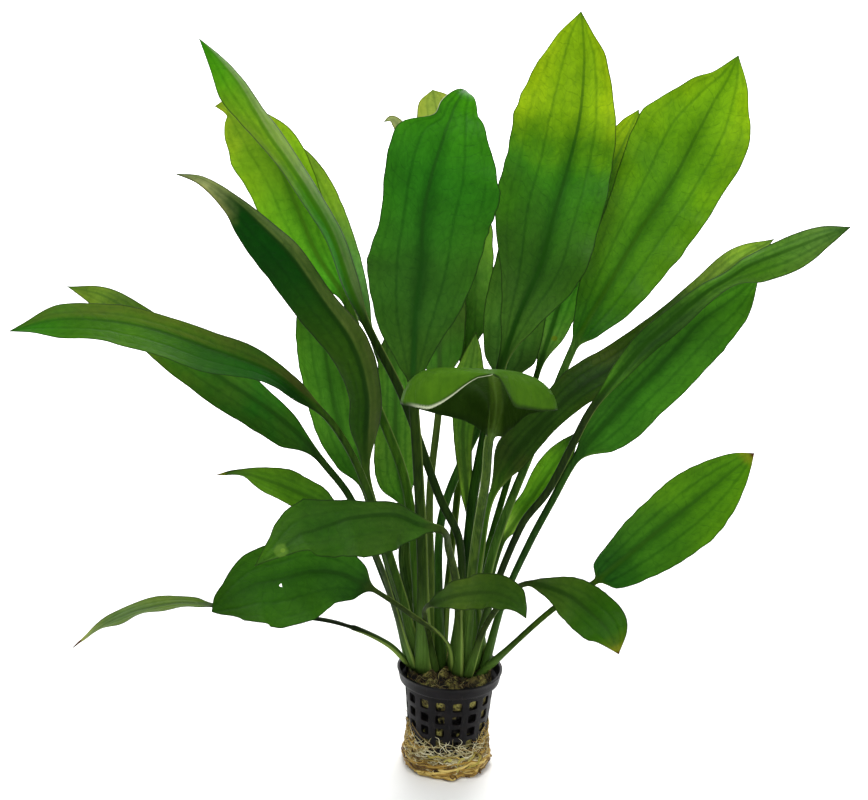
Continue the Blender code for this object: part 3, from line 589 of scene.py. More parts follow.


# Colours of each leaf were matched to the plant as lit: the bright yellow-green towards the tips of the upper
# leaves is painted light that shines through the blade, and the darker greens of the lower leaves are partly
# painted shade.
LEAVES = (
    Leaf(
        "leaf_tall_centre", RIGHT_CROWN, 4.0, 150.0, ((5.5, 1, 90), (8.5, 6, 150)), (
            (18, 10, 208, 2.5, 2.5), (26, 14, 237, 9, 11), (36, 20, 262, 22, 21), (42, 25, 288, 30, 23),
            (48, 30, 312, 31, 21.5), (52, 33, 334, 32, 18), (53, 36, 361, 23, 11),
            (51.5, 37, 375, 13, 4.5), (50, 38, 385, 0, 0),
        ), Look(
            *tints((81, 128, 41), (41, 88, 17), (43, 111, 6), (120, 160, 4), (25, 69, 6), (25, 58, 4)),
            wave=(1.6, 7), bloom=0.05, tip_from=0.55, tip_full=0.8, fringe=0.55,
        ), stalk_width=6.0, lift=(3.0, 3.0),
    ),
    Leaf(
        "leaf_tall_right", RIGHT_CROWN, 4.0, 60.0, ((15, 6, 90), (22, 8, 125), (36, 12, 167)), (
            (55, 18, 222, 3, 5), (69, 24, 249, 14, 17), (86, 33, 280, 21, 24), (102, 40, 306, 29, 25),
            (112, 45, 327, 29.5, 26.5), (120, 48, 344, 18, 21), (125.5, 49, 354, 9.5, 12),
            (130.5, 50, 367, 0, 0),
        ), Look(
            *tints((30, 90, 6), (63, 118, 11), (71, 127, 4), (105, 154, 4), (43, 85, 4), (64, 102, 35)),
            wave=(1.6, 8), bloom=0.05, tip_from=0.5, fringe=0.8,
        ), stalk_width=5.0, lift=(3.0, 3.0), opening=0.06,
    ),
    Leaf(
        "leaf_dark_centre", LEFT_CROWN, 8.8, 262.0, ((-15, -12, 90), (-17, -18, 129), (-21, -26, 179)), (
            (-24, -32, 212, 3, 3), (-24, -34, 225, 8.5, 7.5), (-24, -35, 235.5, 14, 12.5),
            (-24, -36, 246, 18.5, 18), (-22, -38, 270, 25, 25.5), (-22, -38, 291, 19.5, 30.5),
            (-19, -38, 311, 21, 32), (-16, -37, 322, 22, 27), (-14, -36, 329, 19.5, 22),
            (-12, -34, 335, 8, 17.5), (-10, -31, 341, 6.6, 12.5), (-7.5, -27, 345.5, 4.6, 8.5),
            (-6, -22, 347.6, 2.4, 4.6), (-5, -17, 348, 0, 0),
        ), Look(
            *tints((49, 85, 19), (44, 89, 23), (35, 100, 15), (49, 119, 4), (23, 65, 11), (33, 55, 8)),
            wave=(1.2, 7), rim=0.9, rim_half=Half.LEFT, rim_from=0.8,
        ), stalk_width=6.0, lift=(3.0, 3.0), opening=0.06,
    ),
    Leaf(
        "leaf_behind_centre", LEFT_CROWN, 8.8, 25.0, ((-3, 14, 90), (1, 32, 151)), (
            (1, 44, 200, 2.5, 2.5), (0, 50, 228, 12, 13), (-4, 57, 262, 17, 18), (-9, 64, 292, 17, 18),
            (-14, 69, 316, 14, 15), (-18, 73, 331, 11, 10), (-20, 74, 339, 7.5, 7), (-21, 74, 343, 0, 0),
        ), Look(
            *tints((60, 100, 30), (90, 142, 51), (100, 145, 40), (140, 161, 62), (62, 100, 31), (44, 72, 6)),
            veining=0.6,
        ),
    ),
    Leaf(
        "leaf_curled_tip", LEFT_CROWN, 4.0, 40.0, ((-11, 12, 90), (-14, 20, 140)), (
            (-11, 25, 190, 2.5, 2.5), (-12, 30, 214, 12, 12), (-15, 36, 255, 15, 14),
            (-22, 40, 290, 14, 12), (-30, 39, 314, 8, 5.5), (-35, 37, 325, 4, 3), (-40, 33, 330, 2, 2),
            (-44, 28, 329, 0, 0),
        ), Look(
            *tints((66, 135, 32), (51, 85, 24), (100, 140, 60), (176, 184, 118), (51, 80, 31), (72, 95, 38)),
            bloom=0.1, under=srgb(88, 122, 50), veining=0.5,
        ),
    ),
    Leaf(
        "leaf_grey_folded", RIGHT_CROWN, 8.8, 160.0,
        ((4, -1, 85), (2, -5, 125), (-9, -8, 149), (-30, -8, 202)), (
            (-46, -8, 232, 2.5, 3), (-56, -8, 253, 3.5, 5), (-65, -7, 277, 4, 5), (-77, -6, 297, 5, 5),
            (-88, -3, 312, 5, 5.5), (-96, -1, 322, 6, 6), (-104, 1, 334, 9, 4.5),
            (-112, 4, 346, 11, 3.5), (-121, 6, 356, 6, 2.5), (-131, 8, 366, 0, 0),
        ), Look(
            *tints((44, 89, 18), (44, 127, 4), (105, 147, 24), (51, 132, 4), (52, 96, 9), (27, 48, 9)),
            bloom=0.7, bloom_tint=srgb(122, 138, 84), bloom_half=Half.RIGHT, veining=0.6,
        ), stalk_width=5.0, lift=(-7.0, -9.0),
    ),
    Leaf(
        "leaf_behind_folded", LEFT_CROWN, 8.8, 57.0, ((-11, 20, 90), (-17, 31, 126), (-33, 43, 177)), (
            (-47, 46, 216, 2.5, 2.5), (-60, 50, 248, 10, 8), (-69, 53, 270, 12, 9.5),
            (-79, 55, 290, 11, 10), (-88, 54, 305, 8, 8), (-95, 55, 320, 0, 0),
        ), Look(
            *tints((60, 104, 24), (92, 153, 75), (127, 172, 32), (112, 150, 36), (73, 114, 40), (50, 84, 24)),
            bloom=0.25, veining=0.7,
        ), stalk_width=4.0,
    ),
    Leaf(
        "leaf_upper_left", LEFT_CROWN, 4.0, 110.0, ((-19, 10, 100), (-27, 14, 150), (-46, 20, 196)), (
            (-58, 22, 237, 2.5, 2.5), (-75, 24, 263, 14, 10), (-83, 26, 280, 18, 13),
            (-93, 27, 302, 19, 15), (-101, 27, 316, 20, 14), (-110, 25, 327, 15, 8),
            (-118, 22, 334, 7.5, 4), (-125, 18, 334, 0, 0),
        ), Look(
            *tints((82, 176, 40), (89, 159, 27), (113, 166, 28), (161, 201, 48), (67, 114, 17), (54, 93, 18)),
            burn=0.008, wave=(1.0, 6), fringe=0.55, veining=0.7,
        ), stalk_width=5.4,
    ),
    Leaf(
        "leaf_dark_left", LEFT_CROWN, 4.0, 190.0, ((-24, -3, 80), (-31, -9, 105), (-39, -14, 138)), (
            (-45, -18, 161, 2.5, 2.5), (-46, -22, 183, 8, 6), (-46, -26, 205, 9, 7),
            (-53, -29, 229, 12, 8), (-68, -31, 251, 14, 6), (-83, -33, 272, 14.5, 6),
            (-96, -34, 285, 12, 4.5), (-108, -36, 296, 6.5, 3), (-122, -38, 305, 2.5, 2),
            (-134, -42, 308, 0, 0),
        ), Look(
            *tints((27, 63, 6), (40, 74, 7), (7, 56, 4), (150, 158, 98), (15, 44, 3), (51, 80, 19)),
            bloom=0.8, bloom_tint=srgb(86, 102, 44), bloom_half=Half.RIGHT, veining=0.6, tip_from=0.79,
            tip_full=0.94,
        ), lift=(-5.0, -8.0),
    ),
    Leaf(
        "leaf_long_left", LEFT_CROWN, 4.0, 268.0, ((-21, -6, 75), (-26, -13, 98), (-47, -28, 165)), (
            (-61, -36, 193, 2.5, 2.5), (-76, -41, 208, 6, 5), (-91, -45, 220, 10, 7),
            (-115, -50, 230, 17, 9), (-139, -53, 238, 16.5, 9.5), (-161, -55, 242, 14.5, 10),
            (-184, -56, 242, 11.5, 9), (-206, -56, 236, 0, 0),
        ), Look(
            *tints((8, 27, 4), (17, 71, 4), (52, 96, 4), (38, 97, 10), (23, 57, 2), (44, 73, 14)),
            bloom=0.4, bloom_half=Half.RIGHT, bloom_tint=srgb(88, 82, 32), veining=0.5,
        ), face=(0.0, -0.5, 0.85),
    ),
    Leaf(
        "leaf_second_left", LEFT_CROWN, 8.8, 160.0, ((-27, 2, 78), (-33, -3, 97), (-53, -8, 146)), (
            (-67, -12, 166, 4, 2.5), (-79, -13, 180, 11, 4), (-93, -14, 192, 14, 7),
            (-114, -13, 205, 15, 10), (-136, -12, 219, 13, 8), (-156, -9, 233, 11, 6.5),
            (-174, -5, 243, 8.5, 5), (-194, 0, 246.5, 0, 0),
        ), Look(
            *tints((32, 103, 13), (37, 98, 19), (54, 95, 12), (89, 121, 27), (28, 66, 8), (36, 66, 18)),
            blush=0.2, veining=0.6,
        ), face=(0.0, -0.7, 0.7),
    ),
    Leaf(
        "leaf_upright_left", LEFT_CROWN, 8.8, 124.0, ((-26, 7, 80), (-32, 4, 101)), (
            (-46, -2, 148, 2.5, 2.5), (-53, -1, 163, 8, 8), (-60, 0, 181, 12, 12), (-65, 2, 201, 13, 13),
            (-69, 4, 221, 13.5, 12), (-73, 5, 240, 9.5, 8), (-75, 6, 254, 0, 0),
        ), Look(
            *tints((33, 85, 8), (67, 124, 31), (74, 137, 34), (52, 102, 24), (45, 91, 21), (52, 84, 24)),
            veining=0.7,
        ),
    ),
    Leaf(
        "leaf_small_left", LEFT_CROWN, 8.8, 228.0, ((-24, -10, 72), (-30, -17, 95), (-40, -27, 126)), (
            (-54, -31, 143, 2, 2), (-66, -35, 153, 8, 6.5), (-78, -39, 160, 10, 9),
            (-89, -42, 165, 8, 7), (-101, -44, 169, 3, 3), (-114, -48, 169.5, 0, 0),
        ), Look(
            *tints((52, 94, 24), (57, 101, 15), (75, 121, 18), (58, 90, 26), (42, 77, 9), (49, 65, 33)),
            burn=0.035, veining=0.55,
        ), stalk_width=3.0, face=(0.0, -0.65, 0.75),
    ),
    Leaf(
        "leaf_broad_left", RIGHT_CROWN, 8.8, 232.0, ((3, -16, 85), (1, -28, 111), (-4, -42, 135)), (
            (-7, -56, 149, 2, 2), (-18, -60, 153, 6.5, 4), (-30, -68, 160, 16.5, 5.5),
            (-48, -76, 161, 19.5, 8), (-56, -79, 159, 17, 11), (-65, -84, 157, 13.5, 15),
            (-71, -87, 156, 9.5, 12.5), (-79, -91, 150, 3.5, 8), (-90, -94, 143, 0, 0),
        ), Look(
            *tints((39, 83, 15), (38, 74, 13), (29, 72, 7), (51, 97, 10), (19, 49, 5), (50, 69, 21)),
            bloom=0.08, wave=(1.0, 5), veining=0.35,
            spots=((85.0, -0.5, 3.2, srgb(78, 114, 34)), (84.2, -0.9, 1.1, srgb(100, 134, 44))),
        ), face=(0.1, -0.8, 0.6),
    ),
    Leaf(
        "leaf_low_left", RIGHT_CROWN, 8.8, 196.0, ((-3, -20, 77), (-21, -34, 97)), (
            (-37, -46, 113, 2, 2), (-46, -51, 120, 9, 7.5), (-56, -56, 126, 15.5, 13),
            (-68, -61, 128, 21.5, 17), (-81, -66, 126, 22.5, 17), (-93, -69, 124, 20, 14.5),
            (-104, -72, 118, 12.5, 7), (-109, -74, 114, 4.5, 4), (-112, -75, 112, 0, 0),
        ), Look(
            *tints((11, 56, 4), (49, 101, 21), (42, 88, 14), (32, 69, 5), (28, 65, 10), (47, 64, 19)),
            wave=(1.0, 5), hole=(0.6, -0.1275, 0.95), veining=0.6,
        ), stalk_width=3.0, face=(0.0, -0.88, 0.48),
    ),
    Leaf(
        "leaf_edge_left", LEFT_CROWN, 8.8, 194.0, ((-33, -8, 69), (-56, -19, 84), (-81, -26, 90.5)), (
            (-114, -31, 96, 2, 2), (-126, -33, 97.5, 4, 4), (-141, -34, 97, 7, 7),
            (-154, -35, 94, 7.5, 7.5), (-165, -36, 89, 6, 6), (-177, -37, 82, 3, 3),
            (-186, -38, 74, 0, 0),
        ), Look(
            *tints((68, 96, 14), (77, 101, 36), (81, 106, 55), (140, 156, 85), (51, 71, 31), (21, 35, 9)),
            burn=0.08, veining=0.4,
        ), stalk_width=3.2, face=(0.0, -0.15, 1.0), lift=(1.0, 1.0),
    ),
    Leaf(
        "leaf_arching_front", RIGHT_CROWN, 4.0, 240.0, ((8, -12, 90), (9.5, -22, 131), (12, -42, 170)), (
            (12, -56, 193, 2.5, 2.5), (14, -68, 213, 5.5, 6), (12, -84, 229, 15, 18),
            (10, -102, 238, 28, 37), (9, -120, 243, 14, 30), (9, -136, 245, 0, 0),
        ), Look(
            *tints((92, 132, 34), (70, 110, 25), (56, 94, 13), (64, 104, 16), (96, 120, 60), (64, 92, 28)),
            # Painted shade: under is the dark green of the shaded inside of the arch; rim is a painted
            # highlight along its curled margin.
            under=srgb(36, 60, 16), rim=0.8, veining=0.3, rim_in=0.975, rim_from=0.78, fringe=0.0,
            keel=2.6,
        ), stalk_width=5.4, face=(0.0, 0.3, 1.0), lift=(-15.5, -16.4), curl=84.0, hang=1.0,
    ),
    Leaf(
        "leaf_far_right", RIGHT_CROWN, 4.0, 330.0,
        ((18, -8, 90), (32, -14, 138), (43.5, -19, 158), (53, -25, 183)), (
            (60, -32, 203, 2, 2), (70, -38, 221, 4, 4), (81, -43, 238, 5.5, 6), (92, -47, 251, 5, 6.5),
            (106, -52, 266, 3.8, 5), (115, -54.5, 273, 3.2, 4.4), (123, -57, 279.5, 4.2, 9),
            (140, -62, 288.5, 5.8, 9.5), (152, -66, 295, 4.5, 5), (162, -70, 300, 0, 0),
        ), Look(
            *tints((80, 138, 30), (20, 65, 5), (61, 114, 9), (75, 116, 42), (27, 64, 4), (30, 48, 12)),
            bloom=0.12,
        ), lift=(-5.0, -5.0),
    ),
    Leaf(
        "leaf_long_right", RIGHT_CROWN, 8.8, 16.0, ((12.5, 0, 95), (13.4, -5, 125)), (
            (15.5, -8, 146, 2.5, 2.5), (20.5, -9, 160, 8, 5.5), (28, -10, 174.5, 11.5, 9),
            (41, -13, 193, 8.5, 8.5), (57, -14, 210, 11, 10.5), (76, -14, 224, 10, 13),
            (93, -13, 241, 7, 12), (111, -11, 258, 7, 10), (129, -7, 274, 7, 8), (145, -4, 284, 0, 0),
        ), Look(
            *tints((30, 48, 14), (34, 62, 11), (38, 70, 10), (118, 156, 42), (22, 46, 5), (51, 88, 18)),
            blush=0.2,
        ), face=(-0.2, -0.7, 0.65),
    ),
    Leaf(
        "leaf_wide_right", RIGHT_CROWN, 8.8, 340.0, ((26, -6, 95), (37, -10, 128), (46.5, -16, 153)), (
            (54, -22, 173, 2, 3), (62, -25, 187, 6.5, 11), (71, -28, 200, 8.5, 15.5),
            (81, -31, 214, 10, 16), (89, -33, 224, 10, 16.5), (99, -36, 238, 12, 16.5),
            (107, -37, 249, 12, 17), (120, -38, 260, 9, 11.5), (132, -38, 272, 0, 0),
        ), Look(
            *tints((34, 87, 9), (45, 105, 16), (49, 108, 17), (62, 124, 16), (29, 73, 9), (34, 70, 15)),
            bloom=0.05,
        ),
    ),
    Leaf(
        "leaf_low_right", RIGHT_CROWN, 8.8, 304.0, ((24, -8, 63), (50, -16, 95)), (
            (69.6, -20, 112.1, 2.6, 3), (72.5, -20.5, 115.2, 6.6, 7.6), (76.8, -21.2, 119.8, 9.2, 11.4),
            (84, -22.4, 127.3, 11.6, 14.5), (92.6, -23.8, 136.4, 14.2, 17.5),
            (102.4, -25.5, 146.7, 15.4, 19), (112.1, -27.2, 157, 16.1, 19),
            (120.4, -28.6, 165.7, 14.5, 15.9), (128.5, -30.1, 174.4, 10.7, 10.7),
            (135.2, -31.3, 181.5, 5.5, 4.5), (139.2, -32, 185.7, 0, 0),
        ), Look(
            *tints((27, 79, 15), (50, 102, 17), (68, 120, 12), (72, 125, 11), (37, 77, 8), (47, 73, 8)),
            wave=(0.35, 4), burn=0.03,
        ), stalk_width=3.6, opening=0.06, lift=(3.0, 3.0),
    ),
    Leaf(
        "leaf_small_right", RIGHT_CROWN, 8.8, 268.0, ((16, -22, 86), (26, -38, 111)), (
            (33.5, -50, 122, 2, 2), (43, -58, 124, 4.5, 4.5), (53, -66, 123, 9.5, 9.5),
            (62, -75, 119, 11.5, 11), (69.5, -83, 114, 10, 9), (74, -90, 106, 0, 0),
        ), Look(
            *tints((58, 80, 26), (59, 92, 24), (41, 86, 6), (80, 104, 14), (31, 61, 9), (41, 58, 13)),
            burn=0.035, veining=0.5, tip_from=0.84,
        ), stalk_width=3.4,
    ),
    Leaf(
        "leaf_low_centre", LEFT_CROWN, 8.8, 305.0, ((-11, -14, 75), (-14, -30, 94)), (
            (-13, -40, 104, 2, 2), (-4, -48, 112, 5, 5), (4, -54, 117, 7.5, 8), (16, -65, 123, 9, 9),
            (25, -74, 124, 7.5, 7), (29, -79, 122, 3.8, 3.5), (32, -83, 118.5, 0, 0),
        ), Look(
            *tints((50, 84, 26), (66, 93, 30), (48, 78, 19), (45, 80, 15), (36, 58, 15), (44, 60, 20)),
            veining=0.3,
        ), stalk_width=3.2, face=(0.0, -0.8, 0.6),
    ),
    Leaf(
        "leaf_behind_tall", RIGHT_CROWN, 8.8, 88.0, ((15, 17, 100), (32, 40, 166)), (
            (40, 54, 198, 2.5, 2.5), (46, 60, 219, 9, 8), (53, 68, 243, 14, 12), (66, 80, 281, 14, 13),
            (78, 88, 310, 12, 11), (86, 93, 328, 6, 4.5), (89, 95, 336, 0, 0),
        ), Look(
            *tints((153, 196, 93), (99, 175, 55), (70, 120, 30), (154, 189, 22), (56, 105, 30), (37, 72, 9)),
            spots=((21.6, 3.0, 1.5, srgb(140, 158, 40)),),
        ), stalk_width=4.0,
    ),
    Leaf(
        "leaf_young_centre", RIGHT_CROWN, 8.8, 52.0, ((18, 9, 89),), (
            (24, 11, 118, 1.5, 1.5), (31, 13, 131, 5.5, 4), (39, 15, 144, 6, 5), (46, 17, 155, 8, 5),
            (54, 19, 167, 6.5, 5), (61, 21, 178, 0, 0),
        ), Look(
            *tints((206, 250, 100), (94, 155, 27), (98, 162, 29), (27, 57, 11), (63, 111, 17), (58, 92, 28)),
            veining=0.6,
        ), stalk_width=3.0,
    ),
    Leaf(
        "leaf_upright_behind", LEFT_CROWN, 8.8, 90.0, ((-20.5, 16, 80), (-26, 20, 105)), (
            (-25, 24, 128, 3, 2), (-30, 29, 146, 12, 8), (-33, 34, 167, 11, 11), (-34, 39, 190, 9, 12),
            (-36, 43, 210, 7.5, 7.5), (-37, 45, 226, 0, 0),
        ), Look(
            *tints((85, 154, 34), (93, 147, 46), (77, 133, 40), (54, 76, 30), (55, 98, 29), (50, 76, 26)),
        ), stalk_width=7.5,
    ),
    Leaf(
        "leaf_small_behind", RIGHT_CROWN, 8.8, 124.0, ((4, 9, 80), (4, 9, 105)), (
            (6.5, 8, 130, 2, 2), (4, 8, 152, 3.4, 3.2), (1.5, 10, 176, 4.8, 5.2), (3, 14, 202, 8, 8),
            (5, 18, 217, 4.5, 4.5), (6, 20, 228, 0, 0),
        ), Look(
            *tints((185, 247, 79), (80, 113, 36), (76, 129, 31), (103, 146, 49), (50, 84, 22), (15, 41, 4)),
        ), stalk_width=3.0,
    ),
    Leaf(
        "leaf_dark_behind", LEFT_CROWN, 8.8, 345.0, ((-7, 6, 90), (-7, 12, 133), (9, 24, 175)), (
            (19, 30, 192, 2.5, 2.5), (23, 35, 211, 12, 14), (26, 39, 235, 16, 16),
            (29, 43, 259, 14.5, 15), (32, 46, 284, 12, 13), (33, 48, 304, 8, 9), (33, 50, 320, 0, 0),
        ), Look(
            *tints((38, 60, 20), (83, 135, 48), (44, 88, 24), (46, 90, 24), (42, 79, 25), (48, 90, 26)),
        ), stalk_width=5.4,
    ),
)


class Tissue(Graph):
    """Surface of a leaf, in layers that each take the colour beneath and return the one above.

    Its patterns follow the leaf's marks. along is -1 to 0 on the stalk and 0 to 1 on the blade, across is
    -1 on the left margin and 1 on the right, half is the half-width and reach the way from the neck, both
    in millimetres, flat is 0 on the stalk and 1 on the blade, and top is 1 on the seen side, -1 beneath.
    """

    blush = srgb(84, 80, 26)
    # Painted highlight: the pale rim along one margin.
    pale_rim = srgb(205, 214, 180)
    hairline = (0.009, 0.02, 0.004)
    yellowed_border = srgb(130, 130, 20)
    scorched_brown = srgb(70, 40, 16)
    stalk_foot = srgb(92, 128, 52)
    # Painted highlight along one side of a stalk.
    stalk_lit = srgb(150, 178, 84)

    def __init__(self, tree: bpy.types.NodeTree, given: bpy.types.NodeOutputs) -> None:
        """Read the marks and make the patterns that several layers share."""
        super().__init__(tree)
        self.given = given
        self.along, self.across, self.half = self.mark("along"), self.mark("across"), self.mark("half")
        self.reach, self.flat, self.top = self.mark("reach"), self.mark("flat"), self.mark("top")
        self.spot = self.place()
        self.cloud = self.noise(self.spot, 55.0, 3.0)
        self.fleck = self.noise(self.spot, 380.0, 4.0)
        self.size = self.maths("ABSOLUTE", self.across)
        self.offset = self.times(self.size, self.half)
        self.drawn = self.sheet(self.times(self.across, self.half), self.times(self.reach, 0.22))
        self.ragged = self.noise(self.drawn, 0.75, 3.0)
        self.sway = self.line(self.noise(self.drawn, 0.09, 2.0), 16.0, self.reach)
        self.fading = self.band(self.along, 0.45, 1.0, 1.0, 0.4)
        self.rib_width = self.line(self.minus(1.0, self.along), 1.1, 0.7)
        self.beneath = self.band(self.top, -0.5, 0.0, 1.0, 0.0)

    def ground(self) -> Socket:
        """Greens from neck to tip, yellowed towards the margins by Fringe, mottled and blushed.

        Returns:
            The colour.
        """
        given, cloud = self.given, self.cloud
        place = self.plus(self.along, self.line(cloud, 0.16, -0.08))
        colour = self.mix(self.band(place, 0.0, 0.33), given["Neck"], given["Lower"])
        colour = self.mix(self.band(place, 0.3, 0.68), colour, given["Upper"])
        colour = self.mix(self.band(place, given["Tip From"], given["Tip Full"]), colour, given["Tip"])
        outer = self.line(self.plus(cloud, -0.5), 0.7, self.size)
        outer = self.times(self.band(outer, 0.3, 1.0), self.band(self.along, 0.1, 0.45))
        yellowed = self.tinted(colour, (1.5, 1.18, 0.6))
        colour = self.mix(self.times(outer, given["Fringe"]), colour, yellowed)
        colour = self.mottled(colour, cloud, (0.3, 0.7), (0.86, 0.89, 0.84), (1.1, 1.08, 1.06))
        colour = self.mottled(colour, self.fleck, (0.3, 0.7), (0.92, 0.94, 0.9), (1.07, 1.05, 1.05))
        blush = self.times(self.band(self.noise(self.spot, 38.0, 3.0), 0.4, 0.62), given["Blush"])
        return self.mix(blush, colour, self.blush)

    def bloom(self) -> Socket:
        """Share of the painted grey-green sheen, on one half or both, in clouds drawn out along the blade.

        Returns:
            The share.
        """
        half = self.given["Bloom Half"]
        either = self.minus(1.0, self.maths("ABSOLUTE", half))
        here = self.plus(self.band(self.times(self.across, half), 0.0, 0.3), either)
        cloud = self.band(self.noise(self.drawn, 0.16, 4.0), 0.25, 0.7, 0.35, 1.0)
        return self.times(self.times(here, cloud), self.given["Bloom"])

    def soft_midrib(self) -> Socket:
        """Soft band with a ragged edge about the midrib, wider on a wide blade, that fades to the tip.

        Returns:
            Its strength.
        """
        ragged = self.line(self.ragged, 3.4, self.plus(self.offset, -1.7))
        far = self.maths("DIVIDE", ragged, self.line(self.half, 0.17, 1.0))
        return self.times(self.band(far, 0.1, 1.25, 1.0, 0.0), self.fading)

    def side_veins(self) -> Socket:
        """Two side veins on each half, a millimetre wide and ragged.

        Returns:
            Their strength.
        """
        lines = []
        for centre, strength in VEINS:
            gap = self.times(self.maths("ABSOLUTE", self.minus(self.size, centre)), self.half)
            gap = self.line(self.plus(self.ragged, -0.5), 0.9, gap)
            lines.append(self.band(gap, 0.1, 1.15, strength, 0.0))
        return self.maths("MAXIMUM", *lines)

    def cross_veins(self) -> Socket:
        """Faint slanting cross veins, the crests of sin(1.15 (sway - 0.7 offset)), broken by noise.

        Returns:
            Their strength.
        """
        step = self.line(self.offset, -0.7, self.sway)
        step = self.line(self.band(self.across, -0.01, 0.01), 3.1, step)
        crest = self.band(self.maths("SINE", self.times(step, 1.15)), 0.93, 1.0)
        return self.times(crest, self.band(self.noise(self.drawn, 0.3), 0.4, 0.6))

    def net(self) -> tuple:
        """Net of the finest veins, as the edges of cells, and the quilting of the sheet between veins.

        Returns:
            The strength of the net, and the cloud of the quilting, which gives both its bump and its painted
            light and shade.
        """
        across = self.line(self.ragged, 1.2, self.times(self.across, self.half))
        place = self.sheet(across, self.times(self.sway, 0.62))
        given = {"Vector": place, "Scale": 0.3}
        gap = self.step("ShaderNodeTexVoronoi", given, "Distance", feature="DISTANCE_TO_EDGE")
        return self.band(gap, 0.0, 0.09, 1.0, 0.0), self.noise(place, 0.42, 2.0)

    def veined(self, colour: Socket, patterns: tuple) -> Socket:
        """Veins darkened by Veining, the fine line of the midrib, and a dark hairline on the margin.

        Args:
            colour: The colour beneath.
            patterns: Pairs of a pattern of veins and how much it darkens.

        Returns:
            The colour above.
        """
        veining = self.given["Veining"]
        dark = self.tinted(colour, (0.24, 0.4, 0.42))
        for lines, share in patterns:
            colour = self.mix(self.times(self.times(lines, share), veining), colour, dark)
        rib = self.band(self.maths("DIVIDE", self.offset, self.rib_width), 0.35, 1.1, 1.0, 0.0)
        rib = self.times(rib, self.line(veining, 0.5, 0.4))
        colour = self.mix(self.times(rib, self.fading), colour, self.given["Midrib"])
        edge = self.band(self.times(self.minus(1.0, self.size), self.half), 0.1, 0.9, 1.0, 0.0)
        return self.mix(self.times(edge, 0.8), colour, self.hairline)

    def with_rim_highlight(self, colour: Socket) -> Socket:
        """Painted highlight: a pale rim on one margin, from Rim In outwards and from Rim From to the tip.

        Args:
            colour: The colour beneath.

        Returns:
            The colour above.
        """
        given = self.given
        side = self.band(self.times(self.across, given["Rim Half"]), 0.0, 0.3)
        pale = self.times(self.band(self.size, given["Rim In"], 0.995), side)
        onward = self.band(self.minus(self.along, given["Rim From"]), 0.0, 0.1)
        pale = self.times(self.times(pale, given["Rim"]), onward)
        return self.mix(pale, colour, self.pale_rim)

    def scorched(self, colour: Socket) -> tuple:
        """Brown tip over the share Burn of the blade, with a yellowed border.

        Args:
            colour: The colour beneath.

        Returns:
            The colour above, and the share that is brown.
        """
        burn = self.given["Burn"]
        shown = self.band(burn, 0.0, 0.01)
        place = self.line(self.plus(self.fleck, -0.5), 0.05, self.along)
        past = self.minus(place, self.minus(1.0, burn))
        scorch = self.times(self.band(past, 0.0, 0.02), shown)
        border = self.times(self.band(past, -0.05, 0.0), shown)
        colour = self.mix(self.times(border, 0.5), colour, self.yellowed_border)
        return self.mix(scorch, colour, self.scorched_brown), scorch

    def turned(self, colour: Socket) -> Socket:
        """Duller underside with a pale keel along the midrib, wider with Keel; Under is painted shade on the
        arching leaf.

        Args:
            colour: The colour beneath.

        Returns:
            The colour above.
        """
        given = self.given
        share = self.times(self.beneath, self.band(self.along, 0.82, 0.96, 0.75, 0.2))
        colour = self.mix(share, colour, given["Under"])
        stout = self.times(self.rib_width, self.maths("POWER", given["Keel"], 0.5))
        keel = self.band(self.maths("DIVIDE", self.offset, stout), 0.6, 1.3, 1.0, 0.0)
        keel = self.times(self.times(keel, self.beneath), 0.85)
        return self.mix(keel, colour, self.tinted(given["Stalk"], (1.7, 1.6, 1.5)))

    def stem(self, streak: Socket) -> Socket:
        """Colour of the stalk: streaked, yellower at its foot, painted highlight on one side, painted shade
        on the other.

        Args:
            streak: Cloud drawn out along the stalk.

        Returns:
            The colour.
        """
        dark, light = (0.56, 0.62, 0.56), (1.12, 1.06, 1.02)
        stem = self.mottled(self.given["Stalk"], streak, (0.35, 0.65), dark, light)
        foot = self.band(self.along, -1.0, -0.6)
        stem = self.mix(self.line(foot, -0.75, 0.75), stem, self.stalk_foot)
        # Painted highlight along one side, strongest at the foot, then painted shade along the other side.
        painted_highlight = self.times(self.band(self.across, 0.62, 0.95), self.line(foot, -0.45, 0.75))
        stem = self.mix(painted_highlight, stem, self.stalk_lit)
        shadow = self.times(self.band(self.across, -0.98, -0.35, 1.0, 0.0), 0.6)
        return self.mix(shadow, stem, self.tinted(stem, (0.3, 0.38, 0.3)))


